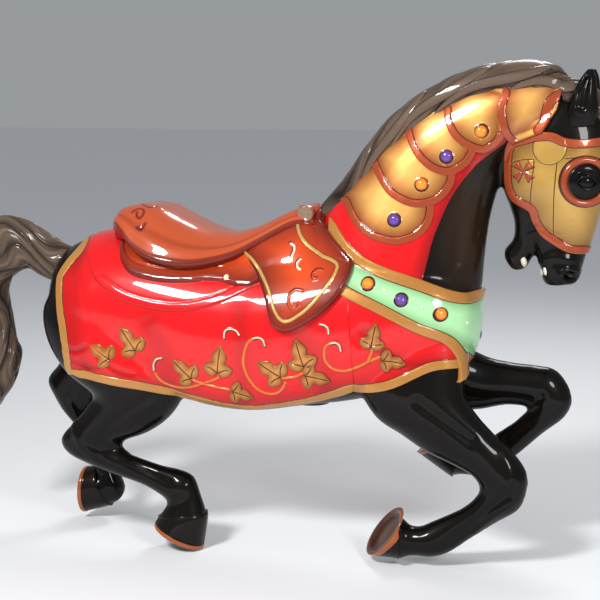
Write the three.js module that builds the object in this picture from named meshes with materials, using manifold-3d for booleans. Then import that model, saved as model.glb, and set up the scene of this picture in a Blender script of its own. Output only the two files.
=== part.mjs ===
// A carousel horse: a leaping jumper with saddle, caparison and neck armour, cast in one piece,
// with round glass jewels set in its harness. Millimetres, +X towards the head, +Y to the horse's
// left, +Z up. The origin is on the pole's axis, on the flat seat under the belly.

import * as THREE from "three";
import { mergeVertices } from "three/addons/utils/BufferGeometryUtils.js";
import Module from "manifold-3d";

const wasm = await Module();
wasm.setup();

// ---- Driving dimensions ----------------------------------------------------------------------

const POLE_BORE_RADIUS = 21.5; // clears a 42 mm pole
const POLE_SEAT_RADIUS = 40; // flat face under the belly
const POLE_SEAT_HEIGHT = 40;
const COLLAR_RADIUS = 28; // stands up through the pommel
const COLLAR_TOP = 437;
const COLLAR_HEIGHT = 90;
const ROUND_SIDES = 18; // facets of the bore, seat and collar

// How far each layer of harness stands off the hide.
const CAPARISON_LIFT = 5;
const STRAP_LIFT = 8;
const PAD_LIFT = 9;
const SADDLE_BASE_LIFT = 17;
const FLAP_LIFT = 24;
const LAME_LIFT = 4;
const LAME_STEP = 1.5; // each neck plate above the one below it
const CHAMFRON_LIFT = 4;
const LEAF_LIFT = 9;

const SEAT_LIP = 19; // thickness of the seat's rolled edge
const SEAT_FILL = 84; // depth of the seat under its centre line
const POMMEL = { x: -6, z: 419, radius: 17, half: 48 }; // a roll across the front of the seat

const LOCKS = 5; // grooves between the locks of the mane, around one section
const TAIL_LOCKS = 5;
const LOCK_DEPTH = 0.11; // of the section's size
const LOCK_TWIST = 0.16; // radians from one rib to the next

const EYE = { x: 590, z: 501, radius: 36, rise: 19 };
const EYE_RING = { radius: 52, rise: 9 };
const EYE_SINK = 22; // depth to which the eye and its ring run into the head
const NOSTRIL = { x: 566, z: 292, y: 40, radius: 12 };
const HOOF_HOLLOW = { scale: 0.76, depth: 9 };

const JEWEL_RADIUS = 13;
const JEWEL_RISE = 8; // dome above its foot
const JEWEL_FOOT = 2; // thickness of the foot
const JEWEL_GAP = 0.3; // thickness of the glue under it
const JEWEL_SIDES = 7;
const NECK_JEWELS = [[201, 417], [256, 491], [306, 549], [378, 603]];
const STRAP_JEWELS = [[154, 286], [225, 255], [305, 225]];
const CHEST_JEWEL_Z = 170;

// Ivy on the blanket's skirt: [stem x, stem z, direction of the tip in degrees, length].
const LEAVES = [
  [-408, 103, 147, 64],
  [-349, 122, 124, 70],
  [-221, 68, 137, 66],
  [-166, 81, 83, 70],
  [-138, 49, -16, 54],
  [-21, 82, 148, 69],
  [26, 104, 107, 70],
  [21, 91, -12, 62],
  [165, 151, 79, 58],
  [185, 127, -8, 54],
];
// Half of a leaf from stem to tip, in leaf lengths: [along, across].
const LEAF_EDGE = [[0, 0.3], [0.16, 0.47], [0.44, 0.2], [1, 0]];

// Facets around each section.
const TORSO_SIDES = 20;
const NECK_SIDES = 14;
const HEAD_SIDES = 12;
const JAW_SIDES = 10;
const EAR_SIDES = 8;
const LEG_SIDES = 10;
const HOLLOW_SIDES = 12;
const EYE_SIDES = 10;
const ROLL_SIDES = 16;
const SEAT_STRIPS = 8; // from one edge of the seat to the other
const SIDES_PER_LOCK = 3;
const NOSTRIL_SIDES = [10, 7]; // round it and from pole to pole

const SIDE_REACH = 300; // half length of the cutters that run across the horse
const RAYS = 12; // that find where a jewel or an eye sits

// ---- Rib tables ------------------------------------------------------------------------------
// A rib is one cross-section: [upper x, upper z, lower x, lower z, half width, centre y,
// squareness of the lower half (2 is round)].

const TORSO = [
  [-604, 254, -604, 158, 26, 0, 2],
  [-594, 290, -594, 130, 72, 0, 2],
  [-566, 330, -566, 98, 114, 0, 2],
  [-510, 356, -510, 72, 143, 0, 2.4],
  [-430, 369, -430, 50, 154, 0, 2.7],
  [-330, 360, -330, 24, 158, 0, 3.1],
  [-220, 344, -220, -3, 160, 0, 3.8],
  [-110, 338, -110, -10, 161, 0, 4],
  [0, 346, 0, 5, 158, 0, 3.6],
  [110, 362, 110, 20, 149, 0, 3.1],
  [210, 360, 210, 46, 135, 0, 2.6],
  [290, 338, 290, 74, 116, 0, 2.2],
  [340, 300, 340, 108, 88, 0, 2],
  [358, 268, 358, 138, 62, 0, 2],
  [366, 240, 366, 168, 32, 0, 2],
];

const NECK = [
  [-10, 340, 300, 80, 112, 0, 2],
  [25, 405, 352, 160, 108, 0, 2],
  [62, 462, 372, 255, 96, 0, 2],
  [110, 532, 380, 345, 82, 0, 2],
  [172, 602, 388, 410, 72, 0, 2],
  [250, 660, 398, 455, 65, 0, 2],
  [335, 700, 408, 490, 61, 0, 2],
  [420, 718, 418, 530, 58, 0, 2],
  [500, 716, 440, 570, 55, 0, 2],
  [556, 696, 500, 610, 48, 0, 2],
];

const HEAD = [
  [585, 674, 480, 640, 46, 0, 2],
  [622, 638, 432, 610, 56, 0, 2],
  [640, 585, 414, 572, 62, 0, 2],
  [640, 535, 410, 532, 66, 0, 2],
  [633, 495, 413, 495, 66, 0, 2],
  [624, 462, 420, 465, 62, 0, 2],
  [616, 435, 434, 438, 55, 0, 2],
  [608, 405, 455, 406, 49, 0, 2],
  [600, 375, 472, 372, 44, 0, 2.2],
  [592, 348, 486, 344, 43, 0, 2.4],
  [585, 322, 497, 316, 45, 0, 2.4],
  [578, 298, 501, 292, 42, 0, 2.2],
  [568, 284, 510, 279, 34, 0, 2],
];

const LOWER_JAW = [
  [520, 450, 430, 442, 42, 0, 2],
  [500, 410, 440, 411, 38, 0, 2],
  [490, 376, 439, 376, 33, 0, 2],
  [485, 348, 421, 354, 32, 0, 2],
  [474, 325, 421, 332, 31, 0, 2],
  [464, 310, 438, 309, 24, 0, 2],
];

const NEAR_EAR = [
  [604, 616, 548, 610, 20, -38, 2],
  [612, 648, 547, 646, 19, -43, 2],
  [609, 678, 559, 678, 15, -46, 2],
  [605, 710, 574, 710, 9, -46, 2],
  [598, 729, 588, 728, 4, -45, 2],
];

const MANE = [
  [14, 430, 40, 410, 22, 0, 2],
  [50, 473, 92, 438, 38, 0, 2],
  [86, 518, 132, 484, 44, 0, 2],
  [128, 580, 178, 540, 46, 0, 2],
  [182, 640, 228, 592, 48, 0, 2],
  [238, 684, 275, 626, 49, 0, 2],
  [300, 718, 328, 650, 50, 0, 2],
  [362, 737, 382, 668, 50, 0, 2],
  [424, 749, 432, 674, 50, 0, 2],
  [482, 751, 480, 672, 48, 0, 2],
  [522, 739, 512, 668, 43, 0, 2],
  [548, 716, 532, 660, 36, 0, 2],
  [588, 702, 570, 650, 31, 0, 2],
  [626, 670, 600, 632, 29, 0, 2],
  [648, 616, 622, 606, 20, 0, 2],
];

const TAIL = [
  [-540, 326, -560, 250, 34, 0, 2],
  [-575, 336, -605, 250, 37, 0, 2],
  [-620, 360, -640, 262, 41, 0, 2],
  [-672, 388, -668, 275, 45, 0, 2],
  [-728, 401, -694, 271, 49, 0, 2],
  [-790, 380, -716, 252, 52, 0, 2],
  [-834, 320, -726, 218, 55, 0, 2],
  [-850, 245, -722, 173, 57, 0, 2],
  [-850, 160, -713, 120, 57, 0, 2],
  [-838, 85, -698, 76, 52, 0, 2],
  [-818, 20, -708, 32, 44, 0, 2],
  [-794, -30, -724, -2, 31, 0, 2],
  [-770, -62, -748, -32, 15, 0, 2],
];

// The legs run from inside the body to the sole. The near side is the right, at negative y.
const NEAR_HIND = [
  [-340, 260, -548, 272, 52, -80, 2],
  [-300, 180, -598, 210, 64, -84, 2],
  [-268, 98, -590, 132, 70, -88, 2],
  [-262, 48, -545, 62, 68, -90, 2],
  [-276, 4, -482, 14, 62, -90, 2],
  [-308, -38, -498, -18, 54, -90, 2],
  [-355, -70, -528, -54, 45, -90, 2],
  [-402, -88, -553, -79, 38, -90, 2],
  [-416, -102, -562, -102, 35, -90, 2],
  [-408, -114, -542, -129, 34, -90, 2],
  [-386, -123, -484, -153, 32, -90, 2],
  [-356, -133, -420, -173, 28, -90, 2],
  [-320, -143, -368, -188, 26, -90, 2],
  [-281, -149, -330, -206, 29, -90, 2],
  [-248, -163, -308, -222, 33, -90, 2],
  [-232, -202, -312, -234, 31, -90, 2],
  [-220, -240, -326, -254, 39, -90, 2],
  [-217, -256, -333, -268, 44, -90, 2],
  [-229, -326, -337, -277, 49, -90, 2],
];

const FAR_HIND = [
  [-340, 260, -548, 272, 52, 80, 2],
  [-306, 175, -600, 215, 64, 84, 2],
  [-322, 82, -612, 138, 66, 88, 2],
  [-400, 18, -624, 82, 54, 90, 2],
  [-480, -14, -644, 40, 44, 90, 2],
  [-536, -36, -663, 19, 37, 90, 2],
  [-560, -52, -672, -2, 35, 90, 2],
  [-563, -70, -656, -34, 33, 90, 2],
  [-556, -92, -637, -66, 30, 90, 2],
  [-540, -128, -603, -104, 27, 90, 2],
  [-518, -170, -575, -150, 26, 90, 2],
  [-497, -215, -556, -198, 28, 90, 2],
  [-482, -252, -545, -226, 33, 90, 2],
  [-494, -280, -544, -216, 33, 90, 2],
  [-515, -292, -547, -209, 38, 90, 2],
  [-530, -298, -551, -203, 42, 90, 2],
  [-584, -314, -584, -208, 46, 90, 2],
];

const NEAR_FORE = [
  [338, 210, 110, 200, 46, -62, 2],
  [352, 120, 108, 102, 56, -72, 2],
  [354, 52, 128, 46, 58, -80, 2],
  [380, 10, 165, -8, 53, -82, 2],
  [412, -24, 215, -39, 46, -82, 2],
  [443, -54, 270, -74, 40, -82, 2],
  [470, -80, 330, -100, 37, -82, 2],
  [487, -108, 370, -120, 37, -82, 2],
  [489, -142, 388, -147, 36, -82, 2],
  [473, -187, 376, -171, 34, -82, 2],
  [428, -218, 350, -194, 30, -82, 2],
  [372, -258, 315, -213, 27, -82, 2],
  [325, -293, 285, -228, 29, -82, 2],
  [285, -306, 262, -240, 33, -82, 2],
  [250, -305, 238, -240, 30, -82, 2],
  [222, -311, 222, -226, 34, -82, 2],
  [208, -317, 211, -223, 41, -82, 2],
  [196, -312, 203, -216, 43, -82, 2],
  [122, -310, 196, -204, 47, -82, 2],
];

const FAR_FORE = [
  [250, 200, 180, 30, 46, 62, 2],
  [320, 138, 290, -8, 48, 72, 2],
  [375, 107, 352, -14, 43, 80, 2],
  [430, 96, 415, 0, 38, 82, 2],
  [480, 92, 456, 0, 36, 82, 2],
  [524, 85, 467, -4, 36, 82, 2],
  [553, 52, 468, -8, 36, 82, 2],
  [563, 14, 464, -12, 35, 82, 2],
  [547, -21, 456, -18, 33, 82, 2],
  [505, -56, 438, -36, 30, 82, 2],
  [458, -100, 400, -64, 27, 82, 2],
  [412, -141, 366, -92, 28, 82, 2],
  [378, -162, 348, -102, 32, 82, 2],
  [345, -163, 340, -97, 30, 82, 2],
  [318, -162, 338, -88, 34, 82, 2],
  [304, -167, 336, -80, 41, 82, 2],
  [294, -162, 334, -72, 43, 82, 2],
  [224, -115, 334, -60, 46, 82, 2],
];

// The seat: [x, height at the centre line, half width, droop at the edge, rise of its rim].
const SEAT = [
  [-450, 380, 30, 6, 0],
  [-441, 401, 66, 12, 2],
  [-423, 417, 98, 22, 5],
  [-398, 425, 121, 42, 8],
  [-364, 430, 137, 77, 9],
  [-326, 426, 147, 89, 7],
  [-280, 409, 149, 81, 4],
  [-232, 389, 142, 64, 2],
  [-186, 378, 125, 46, 0],
  [-146, 382, 105, 38, 0],
  [-104, 396, 86, 30, 0],
  [-66, 415, 70, 27, 0],
  [-34, 429, 58, 24, 0],
  [-6, 433, 50, 24, 0],
  [16, 424, 40, 24, 0],
];

// ---- Side outlines, [x, z] -------------------------------------------------------------------

const CAPARISON = [
  [-500, 430], [-536, 320], [-551, 272], [-548, 215], [-537, 158], [-530, 106], [-526, 66],
  [-489, 58], [-404, 48], [-342, 40], [-276, 25], [-200, 13], [-120, 6], [-60, 8], [11, 20],
  [83, 37], [121, 53], [136, 52], [183, 59], [220, 72], [278, 100], [306, 108], [345, 111],
  [372, 162], [372, 300], [200, 340], [40, 430],
];
const STRAP_TOP = [
  [24, 442], [69, 404], [104, 365], [139, 340], [185, 320], [232, 305], [273, 292], [325, 274],
  [361, 267], [420, 278],
];
const STRAP_FOOT = [
  [420, 62], [349, 82], [345, 115], [335, 140], [310, 164], [255, 187], [182, 224], [107, 258],
  [40, 290],
];
const PAD = [
  [-455, 340], [-441, 272], [-385, 237], [-315, 219], [-247, 216], [-172, 233], [-98, 268],
  [-40, 300], [20, 430], [-440, 440],
];
// The stuffed panel between the seat and the pad.
const SADDLE_BASE = [
  [-404, 353], [-384, 341], [-368, 298], [-344, 287], [-280, 278], [-209, 287], [-133, 277],
  [-100, 276], [-60, 300], [0, 420], [-300, 430], [-420, 400],
];
const FLAP = [
  [-119, 358], [-83, 286], [-63, 254], [-50, 222], [-41, 198], [-21, 185], [6, 189], [41, 210],
  [69, 233], [100, 268], [120, 309], [124, 335], [106, 360], [71, 393], [46, 414], [20, 434],
  [-20, 422], [-80, 390],
];
// Neck plates from the withers up. Each one's scalloped edge lies over the plate below.
const LAMES = [
  [
    [84, 445], [105, 413], [128, 391], [152, 377], [180, 369], [208, 366], [236, 373], [257, 385],
    [275, 406], [283, 435], [284, 470], [180, 570], [100, 510], [60, 460],
  ],
  [
    [140, 535], [155, 508], [178, 476], [202, 458], [232, 446], [260, 445], [289, 453], [310, 472],
    [323, 495], [328, 530], [240, 620], [150, 580],
  ],
  [
    [211, 606], [223, 577], [241, 548], [262, 528], [283, 516], [307, 511], [330, 517], [353, 535],
    [368, 570], [340, 650], [260, 650],
  ],
  [
    [297, 644], [299, 624], [311, 598], [329, 578], [353, 564], [382, 557], [408, 570], [428, 600],
    [430, 690], [330, 700],
  ],
  [
    [417, 700], [410, 653], [412, 627], [421, 596], [436, 575], [500, 600], [530, 650], [545, 710],
    [480, 730],
  ],
];
const CHAMFRON = [
  [434, 586], [421, 552], [420, 517], [424, 483], [437, 459], [457, 446], [475, 436], [482, 416],
  [499, 389], [527, 369], [558, 355], [620, 348], [690, 510], [690, 610], [617, 593], [582, 588],
  [549, 593], [525, 602], [498, 601], [465, 595],
];

// ---- Solids ----------------------------------------------------------------------------------

// The points of one rib: an ellipse, grown by swell, with its lower half squared and with
// grooves between its locks where it is hair.
function ribRing([ux, uz, lx, lz, half, y, square], sides, { swell = 0, locks = 0, turn = 0 }) {
  const [dx, dz] = [(ux - lx) / 2, (uz - lz) / 2];
  const reach = Math.hypot(dx, dz);
  return Array.from({ length: sides }, (_, k) => {
    const angle = (2 * Math.PI * k) / sides;
    const [c, s] = [Math.cos(angle), Math.sin(angle)];
    const power = 2 / (s < 0 ? square : 2);
    const groove = locks ? 1 - LOCK_DEPTH * (0.5 + 0.5 * Math.cos(locks * angle + turn)) : 1;
    const sideways = Math.sign(c) * Math.abs(c) ** power * (half + swell) * groove;
    const along = Math.sign(s) * Math.abs(s) ** power * (1 + swell / reach) * groove;
    return [(ux + lx) / 2 + dx * along, y + sideways, (uz + lz) / 2 + dz * along];
  });
}

// A closed solid through rings of points, flat at both ends.
function solidOfRings(rings) {
  const sides = rings[0].length;
  const centre = (ring) => [0, 1, 2].map((c) => ring.reduce((sum, p) => sum + p[c], 0) / sides);
  const points = [...rings.flat(), centre(rings[0]), centre(rings.at(-1))];
  const [first, final] = [points.length - 2, points.length - 1];
  const faces = [];
  for (let r = 0; r < rings.length; r++) {
    for (let k = 0; k < sides; k++) {
      const [a, b] = [r * sides + k, r * sides + ((k + 1) % sides)];
      if (r === 0) faces.push(first, b, a);
      if (r === rings.length - 1) faces.push(final, a, b);
      else faces.push(a, b, b + sides, a, b + sides, a + sides);
    }
  }
  const solid = solidOfMesh(points.flat(), faces);
  return solid.volume() > 0 ? solid : solidOfRings(rings.map((ring) => ring.toReversed()));
}

function solidOfMesh(coordinates, faces) {
  const vertProperties = new Float32Array(coordinates);
  const triVerts = new Uint32Array(faces);
  return new wasm.Manifold(new wasm.Mesh({ numProp: 3, vertProperties, triVerts }));
}

function solidOfGeometry(geometry) {
  const bare = geometry.clone();
  bare.deleteAttribute("normal");
  bare.deleteAttribute("uv");
  const merged = mergeVertices(bare, 1e-3);
  return solidOfMesh(merged.attributes.position.array, merged.index.array);
}

function geometryOf(solid) {
  const mesh = solid.getMesh();
  const geometry = new THREE.BufferGeometry();
  geometry.setAttribute("position", new THREE.BufferAttribute(mesh.vertProperties, 3));
  geometry.setIndex(new THREE.BufferAttribute(mesh.triVerts, 1));
  return geometry;
}

const joined = (solids) => solids.reduce((all, solid) => all.add(solid));

// A limb, trunk or tress lofted through its ribs.
function loft(ribs, sides, { swell = 0, locks = 0 } = {}) {
  const turn = (i) => LOCK_TWIST * locks * i;
  return solidOfRings(ribs.map((rib, i) => ribRing(rib, sides, { swell, locks, turn: turn(i) })));
}

// A solid that runs right across the horse with a given side outline.
function across(outline) {
  const shape = new THREE.Shape(outline.map(([x, z]) => new THREE.Vector2(x, z)));
  const options = { depth: 2 * SIDE_REACH, bevelEnabled: false };
  const geometry = new THREE.ExtrudeGeometry(shape, options);
  geometry.translate(0, 0, -SIDE_REACH).rotateX(Math.PI / 2);
  return solidOfGeometry(geometry);
}

// An upright round rod on the pole's axis.
function upright(radius, low, high) {
  const rod = new THREE.CylinderGeometry(radius, radius, high - low, ROUND_SIDES);
  return solidOfGeometry(rod.rotateX(Math.PI / 2).translate(0, 0, (low + high) / 2));
}

// ---- Hide and hair ---------------------------------------------------------------------------

const mirrored = (ribs) => ribs.map((rib) => rib.map((value, c) => (c === 5 ? -value : value)));

// Trunk, neck and the tops of the legs, grown by swell: what every layer of harness lies on.
function trunk(swell = 0) {
  return joined([
    loft(TORSO, TORSO_SIDES, { swell }),
    loft(NECK, NECK_SIDES, { swell }),
    loft(NEAR_HIND.slice(0, 5), LEG_SIDES, { swell }),
    loft(FAR_HIND.slice(0, 4), LEG_SIDES, { swell }),
    loft(NEAR_FORE.slice(0, 4), LEG_SIDES, { swell }),
    loft(FAR_FORE.slice(0, 2), LEG_SIDES, { swell }),
  ]);
}

// The cup in the sole of a hoof, whose sole is the leg's last rib.
function hoofHollow(ribs) {
  const sole = ribs.at(-1);
  const above = ribs.at(-2);
  const middle = ([ux, uz, lx, lz]) => [(ux + lx) / 2, (uz + lz) / 2];
  const [x, z] = middle(sole);
  const inward = new THREE.Vector2(middle(above)[0] - x, middle(above)[1] - z).normalize();
  const { scale, depth } = HOOF_HOLLOW;
  const ring = (shift) => {
    const [mx, mz] = [x + inward.x * shift, z + inward.y * shift];
    const [ux, uz] = [mx + (sole[0] - x) * scale, mz + (sole[1] - z) * scale];
    const [lx, lz] = [mx + (sole[2] - x) * scale, mz + (sole[3] - z) * scale];
    return ribRing([ux, uz, lx, lz, sole[4] * scale, sole[5], 2], HOLLOW_SIDES, {});
  };
  return solidOfRings([ring(-depth), ring(depth)]);
}

function nostril(side) {
  const ball = new THREE.SphereGeometry(NOSTRIL.radius, ...NOSTRIL_SIDES);
  return solidOfGeometry(ball.translate(NOSTRIL.x, side * NOSTRIL.y, NOSTRIL.z));
}

function barebackHorse() {
  const legs = [NEAR_HIND, FAR_HIND, NEAR_FORE, FAR_FORE];
  return joined([
    trunk(),
    loft(HEAD, HEAD_SIDES),
    loft(LOWER_JAW, JAW_SIDES),
    loft(NEAR_EAR, EAR_SIDES),
    loft(mirrored(NEAR_EAR), EAR_SIDES),
    loft(MANE, SIDES_PER_LOCK * LOCKS, { locks: LOCKS }),
    loft(TAIL, SIDES_PER_LOCK * TAIL_LOCKS, { locks: TAIL_LOCKS }),
    ...legs.map((leg) => loft(leg, LEG_SIDES).subtract(hoofHollow(leg))),
  ])
    .subtract(nostril(1))
    .subtract(nostril(-1));
}

// ---- Harness ---------------------------------------------------------------------------------

// A layer with a side outline, lying on the trunk.
const layer = (lift, outline) => trunk(lift).intersect(across(outline));

function ivyLeaf([x, z, degrees, length]) {
  const angle = THREE.MathUtils.degToRad(degrees);
  const [c, s] = [Math.cos(angle), Math.sin(angle)];
  const edge = [...LEAF_EDGE, ...LEAF_EDGE.slice(0, -1).map(([a, b]) => [a, -b]).reverse()];
  return edge.map(([a, b]) => [x + length * (a * c - b * s), z + length * (a * s + b * c)]);
}

function caparison() {
  return joined([
    layer(CAPARISON_LIFT, CAPARISON),
    layer(STRAP_LIFT, [...STRAP_TOP, ...STRAP_FOOT]),
    ...LEAVES.map((leaf) => layer(LEAF_LIFT, ivyLeaf(leaf))),
  ]);
}

// Neck plates, each lying over the one below it, and the plate over the face.
function armour() {
  const plates = LAMES.map((lame, i) => {
    const swell = LAME_LIFT + i * LAME_STEP;
    return loft(NECK, NECK_SIDES, { swell }).intersect(across(lame));
  });
  const face = loft(HEAD, HEAD_SIDES, { swell: CHAMFRON_LIFT }).intersect(across(CHAMFRON));
  return joined([...plates, face]);
}

// One cross-section of the seat: dished inside its rim, with a rolled edge, filled below.
function seatRing([x, height, half, droop, rim]) {
  const points = Array.from({ length: SEAT_STRIPS + 1 }, (_, k) => (2 * k) / SEAT_STRIPS - 1);
  const top = (v) => height + rim * Math.sin(Math.PI * v * v) - droop * v * v * Math.abs(v);
  const depth = (v) => SEAT_LIP + (SEAT_FILL - SEAT_LIP) * (1 - v ** 4);
  const upper = points.map((v) => [x, v * half, top(v)]);
  const lower = points.map((v) => [x, v * half, top(v) - depth(v)]);
  return [...upper, ...lower.reverse()];
}

function saddle() {
  const { radius, half } = POMMEL;
  const roll = new THREE.CylinderGeometry(radius, radius, 2 * half, ROLL_SIDES);
  return joined([
    solidOfRings(SEAT.map(seatRing)),
    solidOfGeometry(roll.translate(POMMEL.x, 0, POMMEL.z)),
    layer(PAD_LIFT, PAD),
    layer(SADDLE_BASE_LIFT, SADDLE_BASE),
    layer(FLAP_LIFT, FLAP),
  ]);
}

// ---- Things set in the surface ---------------------------------------------------------------

// Where rays from outside, in a circle of the radius `reach`, meet the horse: the middle of
// those places and the average facing of the surface between them.
function findSurface(target, start, direction, reach) {
  const ray = new THREE.Raycaster();
  const sideways = new THREE.Vector3(0, 0, 1).cross(direction).normalize();
  const hits = Array.from({ length: RAYS }, (_, k) => {
    const angle = (2 * Math.PI * k) / RAYS;
    const from = start.clone().addScaledVector(sideways, reach * Math.cos(angle));
    from.z += reach * Math.sin(angle);
    ray.set(from, direction);
    return ray.intersectObject(target)[0].point;
  });
  const point = hits.reduce((sum, hit) => sum.add(hit), new THREE.Vector3()).divideScalar(RAYS);
  const normal = new THREE.Vector3();
  hits.forEach((hit, k) => {
    const next = hits[(k + 1) % RAYS];
    normal.add(hit.clone().sub(point).cross(next.clone().sub(point)));
  });
  normal.normalize();
  if (normal.dot(direction) > 0) normal.negate();
  return { point, normal };
}

// A dome on a short round base, standing on z = 0.
function domeGeometry(radius, rise, sink, rings, sides) {
  const profile = [new THREE.Vector2(0, -sink), new THREE.Vector2(radius, -sink)];
  for (let k = 0; k < rings; k++) {
    const angle = (Math.PI / 2) * (k / rings);
    profile.push(new THREE.Vector2(radius * Math.cos(angle), rise * Math.sin(angle)));
  }
  profile.push(new THREE.Vector2(0, rise));
  return new THREE.LatheGeometry(profile, sides).rotateX(Math.PI / 2);
}

function aim(geometry, { point, normal }) {
  const turn = new THREE.Quaternion().setFromUnitVectors(new THREE.Vector3(0, 0, 1), normal);
  return geometry.clone().applyQuaternion(turn).translate(point.x, point.y, point.z);
}

// ---- Assembly --------------------------------------------------------------------------------

const dressed = joined([
  barebackHorse(),
  caparison(),
  armour(),
  saddle(),
  upright(COLLAR_RADIUS, COLLAR_TOP - COLLAR_HEIGHT, COLLAR_TOP),
  upright(POLE_SEAT_RADIUS, 0, POLE_SEAT_HEIGHT),
]).subtract(upright(POLE_BORE_RADIUS, -SIDE_REACH, COLLAR_TOP + SIDE_REACH));
const dressedMesh = new THREE.Mesh(geometryOf(dressed));

// Where something round sits on the side of the horse: side is -1 for the right, 1 for the left.
function onSide([x, z], side, reach) {
  const start = new THREE.Vector3(x, side * 2 * SIDE_REACH, z);
  return findSurface(dressedMesh, start, new THREE.Vector3(0, -side, 0), reach);
}

const chestStart = new THREE.Vector3(3 * SIDE_REACH, 0, CHEST_JEWEL_Z);
const backward = new THREE.Vector3(-1, 0, 0);
const chestSeat = findSurface(dressedMesh, chestStart, backward, JEWEL_RADIUS);
const jewelSeats = [{ name: "chest_jewel", tint: "purple", seat: chestSeat }];
for (const [side, sideName] of [[-1, "right"], [1, "left"]]) {
  NECK_JEWELS.forEach((place, i) => {
    const tint = i % 2 ? "orange" : "purple";
    const seat = onSide(place, side, JEWEL_RADIUS);
    jewelSeats.push({ name: `neck_jewel_${sideName}_${i + 1}`, tint, seat });
  });
  STRAP_JEWELS.forEach((place, i) => {
    const tint = i % 2 ? "purple" : "orange";
    const seat = onSide(place, side, JEWEL_RADIUS);
    jewelSeats.push({ name: `strap_jewel_${sideName}_${i + 1}`, tint, seat });
  });
}

function eye(side) {
  const seat = onSide([EYE.x, EYE.z], side, EYE.radius);
  const ball = domeGeometry(EYE.radius, EYE.rise, EYE_SINK, 3, EYE_SIDES);
  const ring = domeGeometry(EYE_RING.radius, EYE_RING.rise, EYE_SINK, 2, EYE_SIDES);
  return joined([ball, ring].map((dome) => solidOfGeometry(aim(dome, seat))));
}

const horse = joined([dressed, eye(-1), eye(1)]);

// A jewel's back follows the surface that it is glued to, a hair's breadth clear of it.
function jewel({ point, normal }) {
  const foot = point.clone().addScaledVector(normal, JEWEL_FOOT);
  const cabochon = domeGeometry(JEWEL_RADIUS, JEWEL_RISE, JEWEL_RADIUS, 2, JEWEL_SIDES);
  const clear = horse.translate(normal.clone().multiplyScalar(JEWEL_GAP).toArray());
  return solidOfGeometry(aim(cabochon, { point: foot, normal })).subtract(clear);
}

const paint = new THREE.MeshStandardMaterial({ color: 0x1a1210, roughness: 0.15, metalness: 0 });
const jewelMaterials = {
  orange: new THREE.MeshStandardMaterial({ color: 0xe8641c, roughness: 0.05, metalness: 0 }),
  purple: new THREE.MeshStandardMaterial({ color: 0x4b3a78, roughness: 0.05, metalness: 0 }),
};

const part = new THREE.Group();

function addMesh(name, geometry, material) {
  const mesh = new THREE.Mesh(geometry, material);
  mesh.name = name;
  part.add(mesh);
}

addMesh("horse", geometryOf(horse), paint);
for (const { name, tint, seat } of jewelSeats) {
  addMesh(name, geometryOf(jewel(seat)), jewelMaterials[tint]);
}

export default part;
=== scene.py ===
"""The looks of the carousel horse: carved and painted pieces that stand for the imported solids.

Lengths are in millimetres until a mesh is made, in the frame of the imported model: +X towards
the head, +Y to the horse's left, +Z up, with the origin on the pole's axis under the belly.
"""

import math

import bpy
import numpy as np
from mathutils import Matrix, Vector
from mathutils.bvhtree import BVHTree


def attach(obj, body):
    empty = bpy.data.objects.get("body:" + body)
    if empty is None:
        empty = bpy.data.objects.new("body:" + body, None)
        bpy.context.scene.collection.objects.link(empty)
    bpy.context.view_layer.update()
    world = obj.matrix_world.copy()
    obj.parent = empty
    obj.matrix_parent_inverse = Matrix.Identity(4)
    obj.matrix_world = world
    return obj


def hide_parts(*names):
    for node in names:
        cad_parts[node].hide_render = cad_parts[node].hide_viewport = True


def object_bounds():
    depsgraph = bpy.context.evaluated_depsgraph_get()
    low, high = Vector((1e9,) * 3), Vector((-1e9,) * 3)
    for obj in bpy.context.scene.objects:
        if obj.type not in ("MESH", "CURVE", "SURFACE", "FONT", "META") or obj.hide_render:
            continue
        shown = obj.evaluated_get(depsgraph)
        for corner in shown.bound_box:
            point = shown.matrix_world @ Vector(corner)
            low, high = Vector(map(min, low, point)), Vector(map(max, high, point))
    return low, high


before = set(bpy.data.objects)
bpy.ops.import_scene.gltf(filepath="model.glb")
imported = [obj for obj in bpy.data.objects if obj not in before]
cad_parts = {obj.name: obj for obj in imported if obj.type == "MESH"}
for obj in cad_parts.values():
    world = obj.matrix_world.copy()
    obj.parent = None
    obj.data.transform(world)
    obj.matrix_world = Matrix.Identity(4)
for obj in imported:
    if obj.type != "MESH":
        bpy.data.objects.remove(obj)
cad_low, cad_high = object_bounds()

MM = 0.001

# ---- Camera ----

CAMERA_PLACE = (844.09, -3252.19, 700.91)
CAMERA_TARGET = (-27.33, 0, 227.72)
CAMERA_LENS = 92.727


def add_object(name, data):
    thing = bpy.data.objects.new(name, data)
    bpy.context.scene.collection.objects.link(thing)
    return thing


def aim(thing, place, target):
    """Puts a camera or a lamp at a place, looking at its target, both in metres."""
    thing.location = place
    thing.rotation_mode = "QUATERNION"
    thing.rotation_quaternion = (Vector(target) - Vector(place)).to_track_quat("-Z", "Y")


def place_camera():
    data = bpy.data.cameras.new("camera")
    data.sensor_width = 36
    data.lens = CAMERA_LENS
    data.clip_start, data.clip_end = 0.1, 50
    camera = add_object("camera", data)
    aim(camera, Vector(CAMERA_PLACE) * MM, Vector(CAMERA_TARGET) * MM)
    bpy.context.scene.camera = camera


place_camera()


# ---- Rib tables ----
# A rib is one cross-section: (upper x, upper z, lower x, lower z, half width, centre y,
# squareness of the lower half, how far its right-hand edge is drawn forwards).


def ribs(rows, y=0):
    """Fills up rows that leave out their last values: centre y, roundness (2) and no pull."""
    return [(*row, *(y, 2, 0)[len(row) - 5 :]) for row in rows]


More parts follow.
